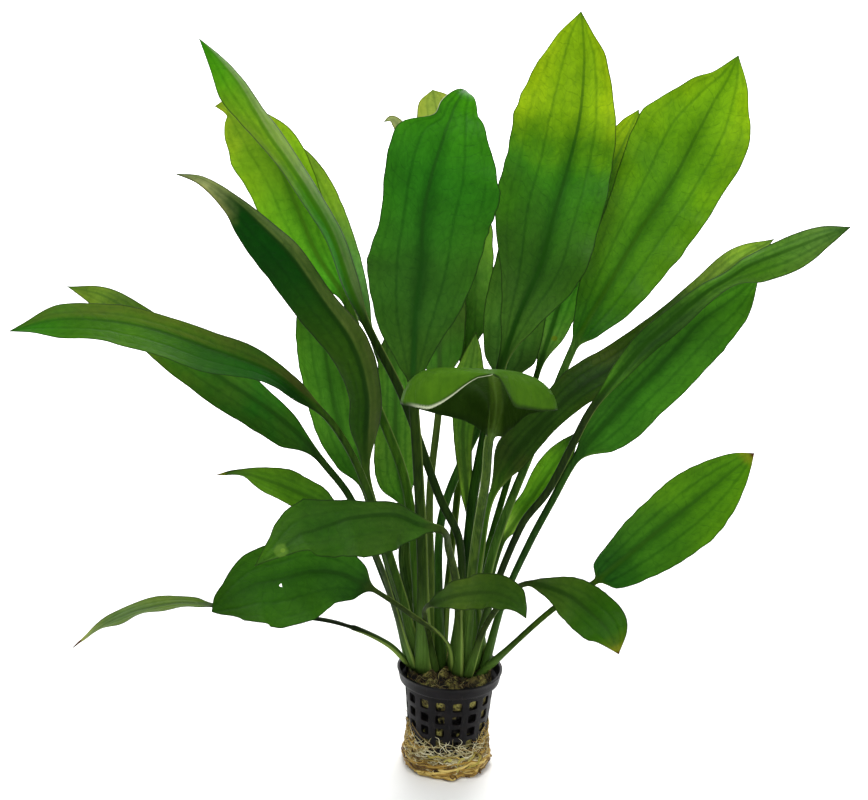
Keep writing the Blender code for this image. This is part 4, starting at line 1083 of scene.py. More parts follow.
def leaf_tissue() -> bpy.types.NodeTree:
    """Group for the surface of every leaf, with its layers from the ground colour to the underside.

    Returns:
        The node group, made on the first call.
    """
    made = bpy.data.node_groups.get("leaf_tissue")
    if made:
        return made
    colours = ("Neck", "Lower", "Upper", "Tip", "Midrib", "Stalk", "Bloom Tint", "Under")
    inputs = {label: (0.05, 0.15, 0.02) for label in colours}
    inputs |= {label: 0.0 for label in ("Bloom", "Bloom Half", "Blush", "Burn", "Rim")}
    inputs |= {label: 1.0 for label in ("Rim Half", "Tip Full", "Veining", "Keel")}
    inputs |= {label: 0.7 for label in ("Rim From", "Rim In", "Tip From", "Fringe")}
    outputs = {"Color": "NodeSocketColor", "Roughness": "NodeSocketFloat", "Height": "NodeSocketFloat"}
    tree, _, given, result = new_group("leaf_tissue", inputs, outputs)
    leaf = Tissue(tree, given)
    bloom = leaf.bloom()
    veins, rungs = leaf.side_veins(), leaf.cross_veins()
    threads, quilting_and_shade = leaf.net()
    # Painted sheen: grey-green mixed into the ground colour.
    colour = leaf.mix(bloom, leaf.ground(), given["Bloom Tint"])
    # Painted light and shade of the quilting: lighter and darker patches between the veins, on the cloud that
    # also raises it.
    colour = leaf.mottled(colour, quilting_and_shade, (0.35, 0.65), (0.93, 0.95, 0.93), (1.07, 1.05, 1.07))
    patterns = ((leaf.soft_midrib(), 0.68), (veins, 0.42), (rungs, 0.3), (threads, 0.17))
    # Painted highlight: the pale rim along one margin.
    colour = leaf.with_rim_highlight(leaf.veined(colour, patterns))
    colour, scorch = leaf.scorched(colour)
    streak = leaf.noise(leaf.place((1.0, 1.0, 0.12)), 420.0, 3.0)
    leaf.put(result["Color"], leaf.mix(leaf.flat, leaf.stem(streak), leaf.turned(colour)))
    rough = leaf.line(bloom, 0.15, leaf.line(leaf.cloud, 0.16, 0.38))
    leaf.put(result["Roughness"], leaf.line(scorch, 0.3, rough))
    low = leaf.maths("MAXIMUM", leaf.times(veins, 0.6), leaf.times(rungs, 0.45))
    low = leaf.times(leaf.line(threads, 0.25, low), leaf.flat)
    grain = leaf.noise(leaf.spot, 900.0, 2.0)
    height = leaf.line(quilting_and_shade, 0.8, leaf.minus(leaf.times(grain, 0.25), low))
    leaf.put(result["Height"], leaf.line(streak, 0.25, height))
    return tree


def leaf_spot() -> bpy.types.NodeTree:
    """Group for one discoloured spot at a place on a blade, in millimetres along and across the midrib.

    Returns:
        The node group, made on the first call.
    """
    made = bpy.data.node_groups.get("leaf_spot")
    if made:
        return made
    inputs = {"Color": (0.1, 0.2, 0.05), "Tint": (0.4, 0.4, 0.1)}
    inputs |= {"Reach": 10.0, "Offset": 0.0, "Radius": 2.0}
    tree, graph, given, result = new_group("leaf_spot", inputs, {"Color": "NodeSocketColor"})
    aside = graph.times(graph.mark("across"), graph.mark("half"))
    far = graph.minus(graph.mark("reach"), given["Reach"])
    side = graph.minus(aside, given["Offset"])
    square = graph.plus(graph.maths("POWER", far, 2.0), graph.maths("POWER", side, 2.0))
    gap = graph.maths("DIVIDE", graph.maths("SQRT", square), given["Radius"])
    ragged = graph.line(graph.noise(graph.place(), 320.0), 0.9, graph.plus(gap, -0.45))
    share = graph.band(ragged, 0.7, 1.15, 0.9, 0.0)
    graph.put(result["Color"], graph.mix(share, given["Color"], given["Tint"]))
    return tree


@dataclass
class Foliage:
    """All the leaves, each a closed thin sheet that rolls into its stalk.

    A stalk is stalk_flare wider at its foot, which is gone at flare_end of its length, and it loses
    stalk_taper of its width on the way up. It leaves its seat upright and takes its own way over the share
    upright. Its section is an oval, stalk_oval of the half-width deep in front and behind, with ribs of
    rib_depth. half_ring gives the places across half a blade, as shares of the half-width, and nibble how
    far a margin strays. bow_power shapes the curl of the two halves, and crowding how much closer the rings
    are near the tip.
    """

    leaves: tuple
    stalk_rings: int = 44
    blade_rings: int = 104
    crowding: float = 1.25
    thickness: float = 0.34
    stalk_flare: float = 0.5
    flare_end: float = 0.38
    stalk_taper: float = 0.18
    stalk_oval: tuple = (0.55, 0.78)
    upright: float = 0.16
    rib_depth: float = 0.05
    groove: float = 0.3
    vein_depth: float = 0.08
    nibble: float = 0.008
    bow_power: tuple = (2.2, 5.0)
    half_ring: tuple = (
        0.02, 0.05, 0.09, 0.115, 0.14, 0.2, 0.27, 0.34, 0.4, 0.45, 0.5, 0.57, 0.65, 0.72, 0.78, 0.85,
        0.92, 0.97, 0.993,
    )
    pieces: dict = field(default_factory=dict)

    def ring(self) -> tuple:
        """Places round a section: from the left margin over the seen side to the right, and back beneath.

        Returns:
            The share of the half-width, -1 to 1, at each place, and 1 above, -1 beneath, 0 on a margin.
        """
        half = np.array(self.half_ring)
        over = np.concatenate([-half[::-1], [0.0], half])
        share = np.concatenate([[-1.0], over, [1.0], over[::-1]])
        level = np.concatenate([[0.0], np.ones(len(over)), [0.0], -np.ones(len(over))])
        return share, level

    def bow(self, curl: float) -> tuple:
        """Section of a blade from margin to margin, its width and its lift each scaled to one.

        Flat blades rise with the square of the share. On a curled one the slope turns by curl * t^n from
        the midrib to the margin, so the places across and down are the integrals of its cosine and sine;
        n is bow_power for the left half and the right.

        Args:
            curl: Angle at the margin in degrees.

        Returns:
            Place across, -1 to 1, and share of the lift, for each place in the ring.
        """
        share, _ = self.ring()
        if not curl:
            return share, share**2
        run = np.linspace(0.0, 1.0, 201)
        size = np.abs(share)
        across, fall = share * 0.0, share * 0.0
        for sign, power in zip((-1, 1), self.bow_power):
            turn = math.radians(curl) * run**power
            out = np.cumsum(np.cos(turn)) - 1
            down = np.cumsum(np.sin(turn))
            across = np.where(share * sign > 0, sign * np.interp(size, run, out / out.max()), across)
            fall = np.where(share * sign > 0, np.interp(size, run, down / down[-1]), fall)
        return across, fall

    def midline(self, leaf: Leaf) -> tuple:
        """Spline of a leaf from its seat to its tip, with rings crowded towards the tip.

        Args:
            leaf: The leaf.

        Returns:
            Rows of x, y, z and the two half-widths, their places from 0 to 1, the place of the neck, and
            the whole length.
        """
        seat = np.array([*leaf.crown, SEAT_Z]) + self.outward(leaf) * leaf.ring
        stalk = np.array([seat, *leaf.stalk], float)
        stalk = np.column_stack([stalk, np.full((len(stalk), 2), leaf.stalk_width / 2)])
        rows = np.vstack([stalk, np.array(leaf.blade, float)])
        lengths = np.linalg.norm(np.diff(rows[:, :3], axis=0), axis=1)
        total = lengths.sum()
        neck = lengths[: len(stalk)].sum() / total
        spread = 1 - (1 - np.linspace(0.0, 1.0, self.blade_rings + 1)[1:]) ** self.crowding
        samples = np.concatenate([np.linspace(0.0, neck, self.stalk_rings), neck + (1 - neck) * spread])
        return spline(rows, samples), samples, neck, total

    def outward(self, leaf: Leaf) -> np.ndarray:
        """Level way from the middle of the crown to the leaf's seat."""
        turn = math.radians(leaf.bearing)
        return np.array([math.cos(turn), math.sin(turn), 0.0])

    def frames(self, leaf: Leaf, centre: np.ndarray, samples: np.ndarray, neck: float) -> tuple:
        """Ways across each ring and up from it: upright at the foot, and turned to the leaf's face above.

        Args:
            leaf: The leaf.
            centre: Points of the midrib.
            samples: Their places from 0 to 1.
            neck: Place of the neck.

        Returns:
            The unit vector across and the one up, for each ring.
        """
        way, seen = self.outward(leaf), unit(np.array(leaf.face, float))
        tangent = unit(np.gradient(centre, samples, axis=0))
        rising = smooth(samples / (neck * self.upright))[:, None]
        tangent = unit(np.array([[0.0, 0.0, 1.0]]) * (1 - rising) + tangent * rising)
        grown = smooth(samples[:, None] / neck)
        face = unit((way if way @ seen > 0 else -way) * (1 - grown) + seen * grown)
        across = unit(np.cross(tangent, face))[:, None]
        return across, np.cross(across, tangent[:, None])

    def heights(self, leaf: Leaf, part: np.ndarray, side: np.ndarray) -> tuple:
        """How the sheet of a blade stands over its midrib, place by place.

        It is l v sin(pi s^0.8)^0.8 for the lift l, with the share v of it from the bow, plus the waves of
        the margin and of the body, less the groove over the midrib and the side veins, plus or minus half
        of the thickness, which rounds off at the margin, less the keel beneath.

        Args:
            leaf: The leaf.
            part: Share s of the blade, for each ring.
            side: Half-width, for each ring and place.

        Returns:
            Heights, and the place across as a share of the half-width.
        """
        share, level = self.ring()
        seed = sum(map(ord, leaf.name))
        rise = np.sin(math.pi * part**0.8) ** 0.8
        held = smooth(part / 0.35) * smooth((1 - part) / 0.13)
        rise = rise + (np.maximum(held, rise) - rise) * leaf.hang
        out, down = self.bow(leaf.curl)
        lift = np.where(share < 0, leaf.lift[0], leaf.lift[1]) * rise * down
        depth, count = leaf.look.wave
        swing = count * 0.8 * part + np.where(share < 0, 0.0, 11.0)
        fade = smooth(part / 0.2) * smooth((1 - part) / 0.12)
        waves = depth * ripple(swing, seed + 5, 4) * np.abs(share) ** 1.7 * fade
        body = 0.4 * depth * ripple(count * 0.4 * part + 60.0, seed + 9, 4) * np.cos(share * 1.4) * fade
        offset = np.abs(share) * side
        relief = -self.groove * hump(offset, 1.1) * (1 - part) * smooth(part / 0.1)
        for vein, strength in VEINS:
            relief = relief - self.vein_depth * strength * hump((np.abs(share) - vein) * side, 0.7) * fade
        sheet = self.thickness / 2 * np.sqrt(np.clip(1 - np.abs(share) ** 12, 0, 1)) * level
        stout = leaf.look.keel
        keel = stout * (0.15 + 0.85 * (1 - part)) * (level < 0)
        keel = keel * hump(offset, stout**0.5 * (0.75 + 0.5 * (1 - part)))
        return lift + waves + body + relief + sheet - keel, out

    def sections(self, leaf: Leaf) -> tuple:
        """Rings of points along one leaf, and the marks that its finish follows.

        A point is c + a x + u z: c on the spline of the midrib, a across it and u up from it. On the stalk
        x and z run round a ribbed oval. On the blade x is the place across times the half-width, and z its
        height. A smooth step over the leaf's opening, the first part of the blade, joins the two.

        Args:
            leaf: The leaf.

        Returns:
            Points as rings by places by 3, and a dict of marks as rings by places.
        """
        curve, samples, neck, total = self.midline(leaf)
        across, up = self.frames(leaf, curve[:, :3], samples, neck)
        share, level = self.ring()
        part = np.clip((samples - neck) / (1 - neck), 0.0, 1.0)[:, None]
        climb = samples[:, None] / neck
        flat = smooth(part / leaf.opening)
        flare = 1 + self.stalk_flare * (1 - smooth(climb / self.flare_end))
        stem = leaf.stalk_width / 2 * flare * (1 - self.stalk_taper * smooth(climb))
        nibbled = ripple(part * 14 + np.where(share < 0, 0.0, 40.0), sum(map(ord, leaf.name)))
        side = np.where(share < 0, curve[:, 3:4], curve[:, 4:5]) * (1 + self.nibble * nibbled)
        side = np.maximum(side, 0.06) * flat + stem * (1 - flat)
        tall, out = self.heights(leaf, part, side)
        oval = np.sqrt(np.clip(1 - share**2, 0, 1)) * level * np.where(level > 0, *self.stalk_oval)
        stem_tall = oval * stem * (1 + self.rib_depth * np.cos(share * 16.0) * (level != 0))
        shift = share + (out - share) * flat
        points = curve[:, None, :3] + across * (shift * side)[:, :, None]
        points = points + up * (tall * flat + stem_tall * (1 - flat))[:, :, None]
        marks = {
            "along": np.where(part > 0, part, climb - 1),
            "across": share,
            "half": side,
            "reach": (samples - neck)[:, None] * total,
            "flat": flat,
            "top": level,
        }
        shape = points.shape[:2]
        return np.clip(points, *ROOM), {name: np.broadcast_to(mark, shape) for name, mark in marks.items()}

    def pierce(self, leaf: Leaf, points: np.ndarray, marks: dict) -> np.ndarray:
        """Cut a round hole through a blade and wall its edge.

        Faces whose corners all lie within the radius go from both sides of the sheet. Points on the edge
        of the gap are drawn onto the circle, and a row of faces joins the two sides.

        Args:
            leaf: The leaf.
            points: Rings by places by 3, changed in place.
            marks: The marks of the same points.

        Returns:
            The faces that stay together with the new wall.
        """
        along, aside, radius = leaf.look.hole
        sides = points.shape[1]
        quads = ring_faces(*points.shape[:2])
        _, level = self.ring()
        reach = marks["reach"] - along * marks["reach"].max()
        side = marks["half"] * (marks["across"] - aside)
        away = np.hypot(reach, side)
        near = (away < radius).ravel()
        gone = near[quads].all(axis=1)
        kept = quads[~gone]
        edges = np.concatenate([quads[gone][:, [k, (k + 1) % 4]] for k in range(4)])
        codes = edges[:, 0] * len(near) + edges[:, 1]
        backs = edges[:, 1] * len(near) + edges[:, 0]
        rim = edges[~np.isin(codes, backs)]
        ringed = np.unique(rim)
        rows, places = np.divmod(ringed, sides)
        flat_points = points.reshape(-1, 3)
        pull = radius / np.maximum(away[rows, places], 0.2) - 1
        step_along = points[rows + 1, places] - points[rows - 1, places]
        span_along = reach[rows + 1, places] - reach[rows - 1, places]
        step_aside = points[rows, places + 1] - points[rows, places - 1]
        span_aside = side[rows, places + 1] - side[rows, places - 1]
        shift = step_along * (reach[rows, places] * pull / span_along)[:, None]
        shift = shift + step_aside * (side[rows, places] * pull / span_aside)[:, None]
        flat_points[ringed] += shift
        above = rim[level[rim[:, 0] % sides] > 0]
        twin = (above // sides) * sides + (sides - above % sides) % sides
        wall = np.stack([above[:, 0], above[:, 1], twin[:, 1], twin[:, 0]], axis=1)
        return np.vstack([kept, wall])

    def build(self) -> None:
        """Make every leaf."""
        for leaf in self.leaves:
            rings, marks = self.sections(leaf)
            pierced = self.pierce(leaf, rings, marks) if leaf.look.hole else None
            points, quads, triangles = close_rings(rings)
            quads = quads if pierced is None else pierced
            marks = {key: np.concatenate([mark.ravel(), mark[[0, -1], 1]]) for key, mark in marks.items()}
            self.pieces[leaf.name] = add_mesh(leaf.name + "_grown", points, quads, triangles, marks)

    def dress(self) -> None:
        """Give each leaf its own finish and put it in the place of its plain solid."""
        for leaf in self.leaves:
            piece = self.pieces[leaf.name]
            piece.data.materials.append(new_material(leaf.name + "_tissue", 0.4, 0.00016, leaf.look))
            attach(piece, "root")
            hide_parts(leaf.name)
            LOG.info("leaf %s: %d faces", leaf.name, len(piece.data.polygons))


@dataclass(frozen=True)
class Moulded(Skin):
    """Dark moulded plastic with a slightly dull skin, scuffs and a trace of dried soil low down."""

    base: Colour = srgb(10, 9, 11)
    scuffed: Colour = srgb(24, 22, 25)
    soil: Colour = srgb(46, 37, 22)
    gloss = 0.1

    def paint(self, graph: Graph) -> tuple:
        """Cloudy dark plastic, fine scuffs and soil that thins out with height.

        Args:
            graph: Node tree of the material.

        Returns:
            Sockets of colour, roughness and height.
        """
        spot = graph.place()
        cloud = graph.noise(spot, 90.0, 4.0)
        colour = graph.mix(graph.band(cloud, 0.35, 0.72), self.base, self.scuffed)
        scuffs = graph.band(graph.noise(graph.place((1.0, 1.0, 0.2)), 700.0, 2.0), 0.62, 0.72)
        colour = graph.mix(graph.times(scuffs, 0.3), colour, srgb(58, 55, 56))
        low = graph.band(graph.step("ShaderNodeSeparateXYZ", {0: spot}, 2), 0.004, 0.03, 1.0, 0.15)
        dirt = graph.times(graph.band(graph.noise(spot, 260.0, 4.0), 0.5, 0.66), low)
        colour = graph.mix(graph.times(dirt, 0.6), colour, self.soil)
        rough = graph.line(cloud, 0.35, 0.28)
        rough = graph.line(dirt, 0.35, rough)
        return colour, rough, graph.noise(spot, 1500.0, 2.0)


@dataclass(frozen=True)
class Fibrous(Skin):
    """Matted fibre: two tints in clumps, painted shade in its hollows, with fine strands."""

    light: Colour
    middle: Colour
    dark: Colour
    clump: float = 150.0
    stretch: tuple = (1.0, 1.0, 1.0)
    gloss = 0.3

    def paint(self, graph: Graph) -> tuple:
        """Clumps of two tints by cloudy noise, painted shade by the mark of depth, streaked by fine strands.

        Args:
            graph: Node tree of the material.

        Returns:
            Sockets of colour, roughness and height.
        """
        mat = graph.node("ShaderNodeGroup", node_tree=matted_fibre())
        for label in ("Light", "Middle", "Dark"):
            graph.put(mat.inputs[label], getattr(self, label.lower()))
        spot = graph.place(self.stretch)
        graph.put(mat.inputs["Clump"], graph.noise(spot, self.clump, 4.0))
        graph.put(mat.inputs["Strand"], graph.noise(spot, self.clump * 5.0, 3.0))
        return mat.outputs["Color"], None, mat.outputs["Height"]


@dataclass(frozen=True)
class Strand(Skin):
    """Root or fibre whose tint differs from strand to strand."""

    pale: Colour
    middle: Colour
    dark: Colour
    gloss = 0.35

    def paint(self, graph: Graph) -> tuple:
        """Tint from the strand's own mark, mottled along its length.

        Args:
            graph: Node tree of the material.

        Returns:
            Sockets of colour, roughness and height.
        """
        tone = graph.mark("tone")
        mottle = graph.noise(graph.place(), 420.0, 3.0)
        tone = graph.plus(tone, graph.line(mottle, 0.5, -0.25))
        colour = graph.mix(graph.band(tone, 0.0, 0.5), self.dark, self.middle)
        colour = graph.mix(graph.band(tone, 0.5, 1.0), colour, self.pale)
        return colour, None, mottle


def matted_fibre() -> bpy.types.NodeTree:
    """Group for matted fibre: tints by clump, painted shade in the hollows that the mark of depth gives.

    Returns:
        The node group, made on the first call.
    """
    made = bpy.data.node_groups.get("matted_fibre")
    if made:
        return made
    inputs = {"Light": (0.2, 0.2, 0.1), "Middle": (0.1, 0.1, 0.05), "Dark": (0.02, 0.02, 0.01)}
    inputs |= {"Clump": 0.5, "Strand": 0.5}
    outputs = {"Color": "NodeSocketColor", "Height": "NodeSocketFloat"}
    tree, graph, given, result = new_group("matted_fibre", inputs, outputs)
    colour = graph.mix(graph.band(given["Clump"], 0.42, 0.62), given["Middle"], given["Light"])
    # Painted shade: darker in the hollows, by the mark of depth.
    painted_hollow_shade = graph.band(graph.mark("depth"), 0.0, 1.0)
    colour = graph.mix(painted_hollow_shade, colour, given["Dark"])
    gaps = graph.band(given["Strand"], 0.36, 0.52, 0.75, 0.0)
    colour = graph.mix(gaps, colour, given["Dark"])
    graph.put(result["Color"], colour)
    graph.put(result["Height"], given["Strand"])
    return tree


@dataclass
class NetPot:
    """Tapering net pot: a wall with rounded openings, a ledge and a flared rim."""

    columns: int = 16
    rows: int = 5
    floor_z: float = 3.7
    floor_radius: float = 19.2
    wall_top_z: float = 46.8
    wall_top_radius: float = 23.2
    wall: float = 1.2
    first_opening_z: float = 9.0
    opening_height: float = 5.0
    row_pitch: float = 7.5
    opening_share: float = 0.56
    corner_power: float = 5.0
    side_steps: int = 6
    foot_round: float = 0.35
    rounding: float = 0.18
    rim_wobble: float = 0.16
    rim_profile: tuple = (
        (23.5, 46.8), (25.3, 47.45), (25.95, 47.9), (26.2, 48.8), (26.75, 51.2), (27.2, 53.2), (27.5, 53.6),
        (27.5, 54.0),
    )
    skin: Moulded = Moulded()
    piece: Optional[bpy.types.Object] = None

    def radius(self, z: np.ndarray) -> np.ndarray:
        """Outer radius of the wall at a height: a straight line from floor to ledge."""
        share = (z - self.floor_z) / (self.wall_top_z - self.floor_z)
        return self.floor_radius + (self.wall_top_radius - self.floor_radius) * share

    def panels(self) -> tuple:
        """Wall round every opening: rings from a rounded rectangle out to the square cell about it.

        The opening's edge is the superellipse (a |cos t|^(2/p), b |sin t|^(2/p)), the cell's edge a
        rectangle, and the rings between are straight blends, all bent round the axis.

        Returns:
            Points and faces.
        """
        steps = self.side_steps
        run = np.linspace(-1, 1, steps + 1)[:-1]
        one = np.ones(steps)
        sides = ((run, -one), (one, run), (-run, one), (-one, -run))
        square = np.concatenate([np.stack(side, 1) for side in sides])
        turn = np.arctan2(square[:, 1], square[:, 0])
        way = np.stack([np.cos(turn), np.sin(turn)], 1)
        opening = np.sign(way) * np.abs(way) ** (2 / self.corner_power)
        cell = np.array([math.pi / self.columns, self.row_pitch / 2])
        hole = np.array([cell[0] * self.opening_share, self.opening_height / 2])
        blend = np.array([0.0, 0.3, 1.0])[:, None, None]
        local = opening * hole * (1 - blend) + square * cell * blend
        column = (np.arange(self.columns) + 0.5) * 2 * math.pi / self.columns - math.pi / 2
        row = self.first_opening_z + self.opening_height / 2 + np.arange(self.rows) * self.row_pitch
        turns = local[None, None, :, :, 0] + column[:, None, None, None]
        heights = local[None, None, :, :, 1] + row[None, :, None, None]
        count = len(square)
        shift = (np.arange(self.columns * self.rows) * len(blend) * count)[:, None, None]
        faces = (ring_faces(len(blend), count)[None] + shift).reshape(-1, 4)
        return around_axis(self.radius(heights), turns, heights).reshape(-1, 3), faces

    def build(self) -> None:
        """Make the wall, the floor, the ledge and the rim as one sheet and thicken it inwards."""
        points, faces = self.panels()
        first = len(points)
        low = self.first_opening_z + self.opening_height / 2 - self.row_pitch / 2
        high = low + self.rows * self.row_pitch
        around = self.columns * self.side_steps
        turns = np.arange(around) * 2 * math.pi / around - math.pi / 2
        foot = self.floor_z + self.foot_round
        floor = [(r, self.floor_z) for r in (0.4, 9.0, 17.0, self.floor_radius - self.foot_round)]
        floor += [(self.radius(z), z) for z in (foot, 5.6, low)]
        rim = [(self.radius(z), z) for z in (high, 46.2)]
        for profile in (floor, [*rim, *self.rim_profile]):
            rows = np.array(profile, float)
            wobble = ripple(np.cos(turns) * 1.3 + 3, 4)[None] * smooth((rows[:, 1:] - 47) / 6)
            radii = rows[:, :1] + np.minimum(self.rim_wobble * wobble, 0.0)
            ring = around_axis(radii, turns, rows[:, 1:]).reshape(-1, 3)
            faces = np.vstack([faces, ring_faces(len(rows), around) + len(points)])
            points = np.vstack([points, ring])
        hub = len(points)
        points = np.vstack([points, [[0.0, 0.0, self.floor_z]]])
        fan = cap_faces(first, around, hub, False)
        self.piece = add_mesh("net_pot_moulded", points, faces, fan, closed=False)
        mesh = self.piece.data
        build = bmesh.new()
        build.from_mesh(mesh)
        bmesh.ops.remove_doubles(build, verts=build.verts, dist=2e-5)
        bmesh.ops.recalc_face_normals(build, faces=build.faces)
        if sum(face.normal.dot(face.calc_center_median() * Vector((1, 1, 0))) for face in build.faces) < 0:
            bmesh.ops.reverse_faces(build, faces=build.faces)
        build.to_mesh(mesh)
        build.free()
        thicken = self.piece.modifiers.new("wall", "SOLIDIFY")
        thicken.thickness = self.wall * MM
        thicken.offset = -1.0
        thicken.use_even_offset = True
        rounding = self.piece.modifiers.new("rounding", "BEVEL")
        rounding.width = self.rounding * MM
        rounding.segments = 2
        rounding.limit_method = "ANGLE"
        rounding.angle_limit = math.radians(50)

    def dress(self) -> None:
        """Finish the pot and put it in the place of its plain solid."""
        self.piece.data.materials.append(new_material("moulded_plastic", 0.4, 0.00005, self.skin))
        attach(self.piece, "root")
        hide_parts("net_pot")
        LOG.info("pot: %d faces before its wall is thickened", len(self.piece.data.polygons))


@dataclass
class GrowingPlug:
    """Mineral wool in the pot: a lumpy plug that fills some openings and stands back from others.

    Loose fibres lie on its top. mounds gives the middle of each mound and its height.
    """

    pot: NetPot
    low_z: float = 5.3
    wall_z: float = 47.4
    top_z: float = 51.2
    clearance: float = 0.25
    around: int = 260
    fibres: int = 380
    mounds: tuple = ((LEFT_CROWN, 3.6), (RIGHT_CROWN, 1.8))
    wool: Fibrous = Fibrous(*tints((156, 150, 80), (92, 84, 42), (10, 8, 8)))
    thread: Strand = Strand(*tints((168, 158, 104), (92, 74, 42), (20, 13, 9)))
    pieces: list = field(default_factory=list)

    def rough(self, places: np.ndarray) -> np.ndarray:
        """Roughness of the top over x and y: 2.6 |lumps(15 mm)| + 0.75 lumps(3.8 mm)."""
        flat = np.column_stack([places, np.zeros(len(places))])
        return 2.6 * np.abs(lumps(flat, 15.0, 3)) + 0.75 * lumps(flat, 3.8, 4)

    def top(self, places: np.ndarray) -> np.ndarray:
        """Height of the top: z0 + rough - 1.6, with a mound at each crown, and 1.4 less by the wall.

        Args:
            places: Rows of x and y.

        Returns:
            The heights.
        """
        lift = np.clip(self.rough(places) - 1.6, -2.6, 2.6)
        near_wall = smooth((np.hypot(places[:, 0], places[:, 1]) - 16.0) / 6.0)
        mounds = sum(high * hump(np.hypot(*(places - centre).T), 9.5) for centre, high in self.mounds)
        return self.top_z + lift + mounds - 1.4 * near_wall

    def build(self) -> None:
        """Make the plug as rings from its underside over the wall to the middle of its top, then fibres.

        The wall is the pot's inside less the clearance, plus 2 lumps(15 mm) + 0.5 lumps(3.2 mm) - 0.3,
        which is held between -3.2 and 0.15.
        """
        inner = self.pot.wall + self.clearance
        turns = circle(self.around)
        z = np.linspace(self.low_z, self.wall_z, 76)[:, None] + 0 * turns
        full = self.pot.radius(z) - inner
        spot = around_axis(full, turns, z).reshape(-1, 3)
        swell = 2.0 * lumps(spot, 15.0, 11) + 0.5 * lumps(spot, 3.2, 12) - 0.3
        swell = np.clip(swell.reshape(z.shape), -3.2, 0.15)
        wall = around_axis(full + swell, turns, z)
        under = around_axis((full + swell)[0] * 0.5, turns, self.low_z)
        rings = [under, *wall]
        # Painted shade: the mark of depth darkens the wall where it stands back from the pot and the top in
        # its dips.
        shade_depths = [np.ones(self.around), *np.clip(-swell / 1.2 - 0.05, 0, 1)]
        for share in np.linspace(0.985, 0.03, 42):
            radius = (self.pot.radius(47.0) - inner + 0.15) * share
            places = around_axis(radius, turns, 0.0)[:, :2]
            rings.append(np.column_stack([places, self.top(places)]))
            shade_depths.append(np.clip((2.1 - self.rough(places)) / 1.5, 0, 1))
        ends = [[0, 0, self.low_z], rings[-1].mean(axis=0)]
        points, quads, triangles = close_rings(np.stack(rings), ends)
        marks = {"depth": np.concatenate([*shade_depths, [1.0, 0.5]])}
        self.pieces = [add_mesh("wool_plug", points, quads, triangles, marks), self.threads()]

    def threads(self) -> bpy.types.Object:
        """Loose fibres on the top: short wandering tubes that lie on the lumps.

        Returns:
            The piece.
        """
        draw = np.random.default_rng(21)
        steps = 9
        share = np.linspace(0, 1, steps)
        turn = draw.uniform(0, 2 * math.pi, self.fibres)
        radius = 21.0 * np.sqrt(draw.uniform(0.02, 1, self.fibres))
        heading = draw.uniform(0, 2 * math.pi, self.fibres)
        length = draw.uniform(3, 9, self.fibres)
        bend = draw.uniform(-2.2, 2.2, self.fibres)
        angle = heading[:, None] + bend[:, None] * share + 0.5 * ripple(share * 2 + turn[:, None] * 9, 5)
        x = (radius * np.cos(turn))[:, None] + np.cumsum(np.cos(angle), axis=1) * (length / steps)[:, None]
        y = (radius * np.sin(turn))[:, None] + np.cumsum(np.sin(angle), axis=1) * (length / steps)[:, None]
        far = np.maximum(np.hypot(x, y) / 21.6, 1.0)
        x, y = x / far, y / far
        top = self.top(np.column_stack([x.ravel(), y.ravel()])).reshape(x.shape)
        hop = draw.uniform(0.1, 1.6, self.fibres)[:, None] * np.sin(math.pi * share)
        paths = np.stack([x, y, top + 0.05 + hop], axis=-1)
        taper = np.interp(share, [0, 0.1, 0.9, 1], [0.3, 1, 1, 0.3])
        radii = draw.uniform(0.07, 0.2, self.fibres)[:, None] * taper
        points, quads, triangles, which = tubes(paths, radii, 4)
        tone = draw.uniform(0, 1, self.fibres) ** 1.6
        return add_mesh("wool_threads", points, quads, triangles, {"tone": tone[which]})

    def dress(self) -> None:
        """Finish the plug and its fibres."""
        for piece, skin in zip(self.pieces, (self.wool, self.thread)):
            piece.data.materials.append(new_material(piece.name + "_fibre", 0.9, 0.00035, skin))
            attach(piece, "root")
        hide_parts("mineral_wool")
        LOG.info("wool: %d faces", sum(len(piece.data.polygons) for piece in self.pieces))


@dataclass
class Crown:
    """Short rootstock that a group of stalks grows from, ribbed by the bases of old stalks."""

    name: str
    node: str
    centre: tuple
    radius: float = 9.7
    low_z: float = 47.5
    high_z: float = 53.6
    around: int = 120
    tissue: Fibrous = Fibrous(*tints((120, 134, 76), (84, 88, 44), (38, 30, 18)), 220.0, (1.0, 1.0, 0.3))
    piece: Optional[bpy.types.Object] = None

    def build(self) -> None:
        """Make the body: a dome r = R cos(u)^0.45, z from low to high by sin(u), with ribs and lumps."""
        lift = np.linspace(-1.2, 1.5, 26)
        turns = circle(self.around)
        seed = int(self.centre[0] * 10) % 97
        ribs = 1 + 0.05 * np.sin(9 * turns + seed) + 0.035 * np.sin(17 * turns + 2 * seed)
        radii = self.radius * np.cos(lift)[:, None] ** 0.45 * ribs
        middle = (self.low_z + self.high_z) / 2
        z = middle + np.sin(lift)[:, None] * (self.high_z - self.low_z) / 2 + 0 * turns
        rings = around_axis(radii, turns, z) + np.array([*self.centre, 0.0])
        rough = lumps(rings.reshape(-1, 3), 3.4, seed + 1).reshape(z.shape)
        rings[..., 2] += 0.35 * rough
        # Painted shade: darker where the lumps sink.
        depth = np.clip(0.5 - 0.45 * rough, 0, 1)
        points, quads, triangles = close_rings(rings)
        marks = {"depth": np.concatenate([depth.ravel(), [1.0, 0.2]])}
        self.piece = add_mesh(self.name, points, quads, triangles, marks)

    def dress(self) -> None:
        """Finish the crown and put it in the place of its plain solid."""
        self.piece.data.materials.append(new_material(self.name + "_tissue", 0.6, 0.0003, self.tissue))
        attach(self.piece, "root")
        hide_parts(self.node)
        LOG.info("crown %s: %d faces", self.name, len(self.piece.data.polygons))


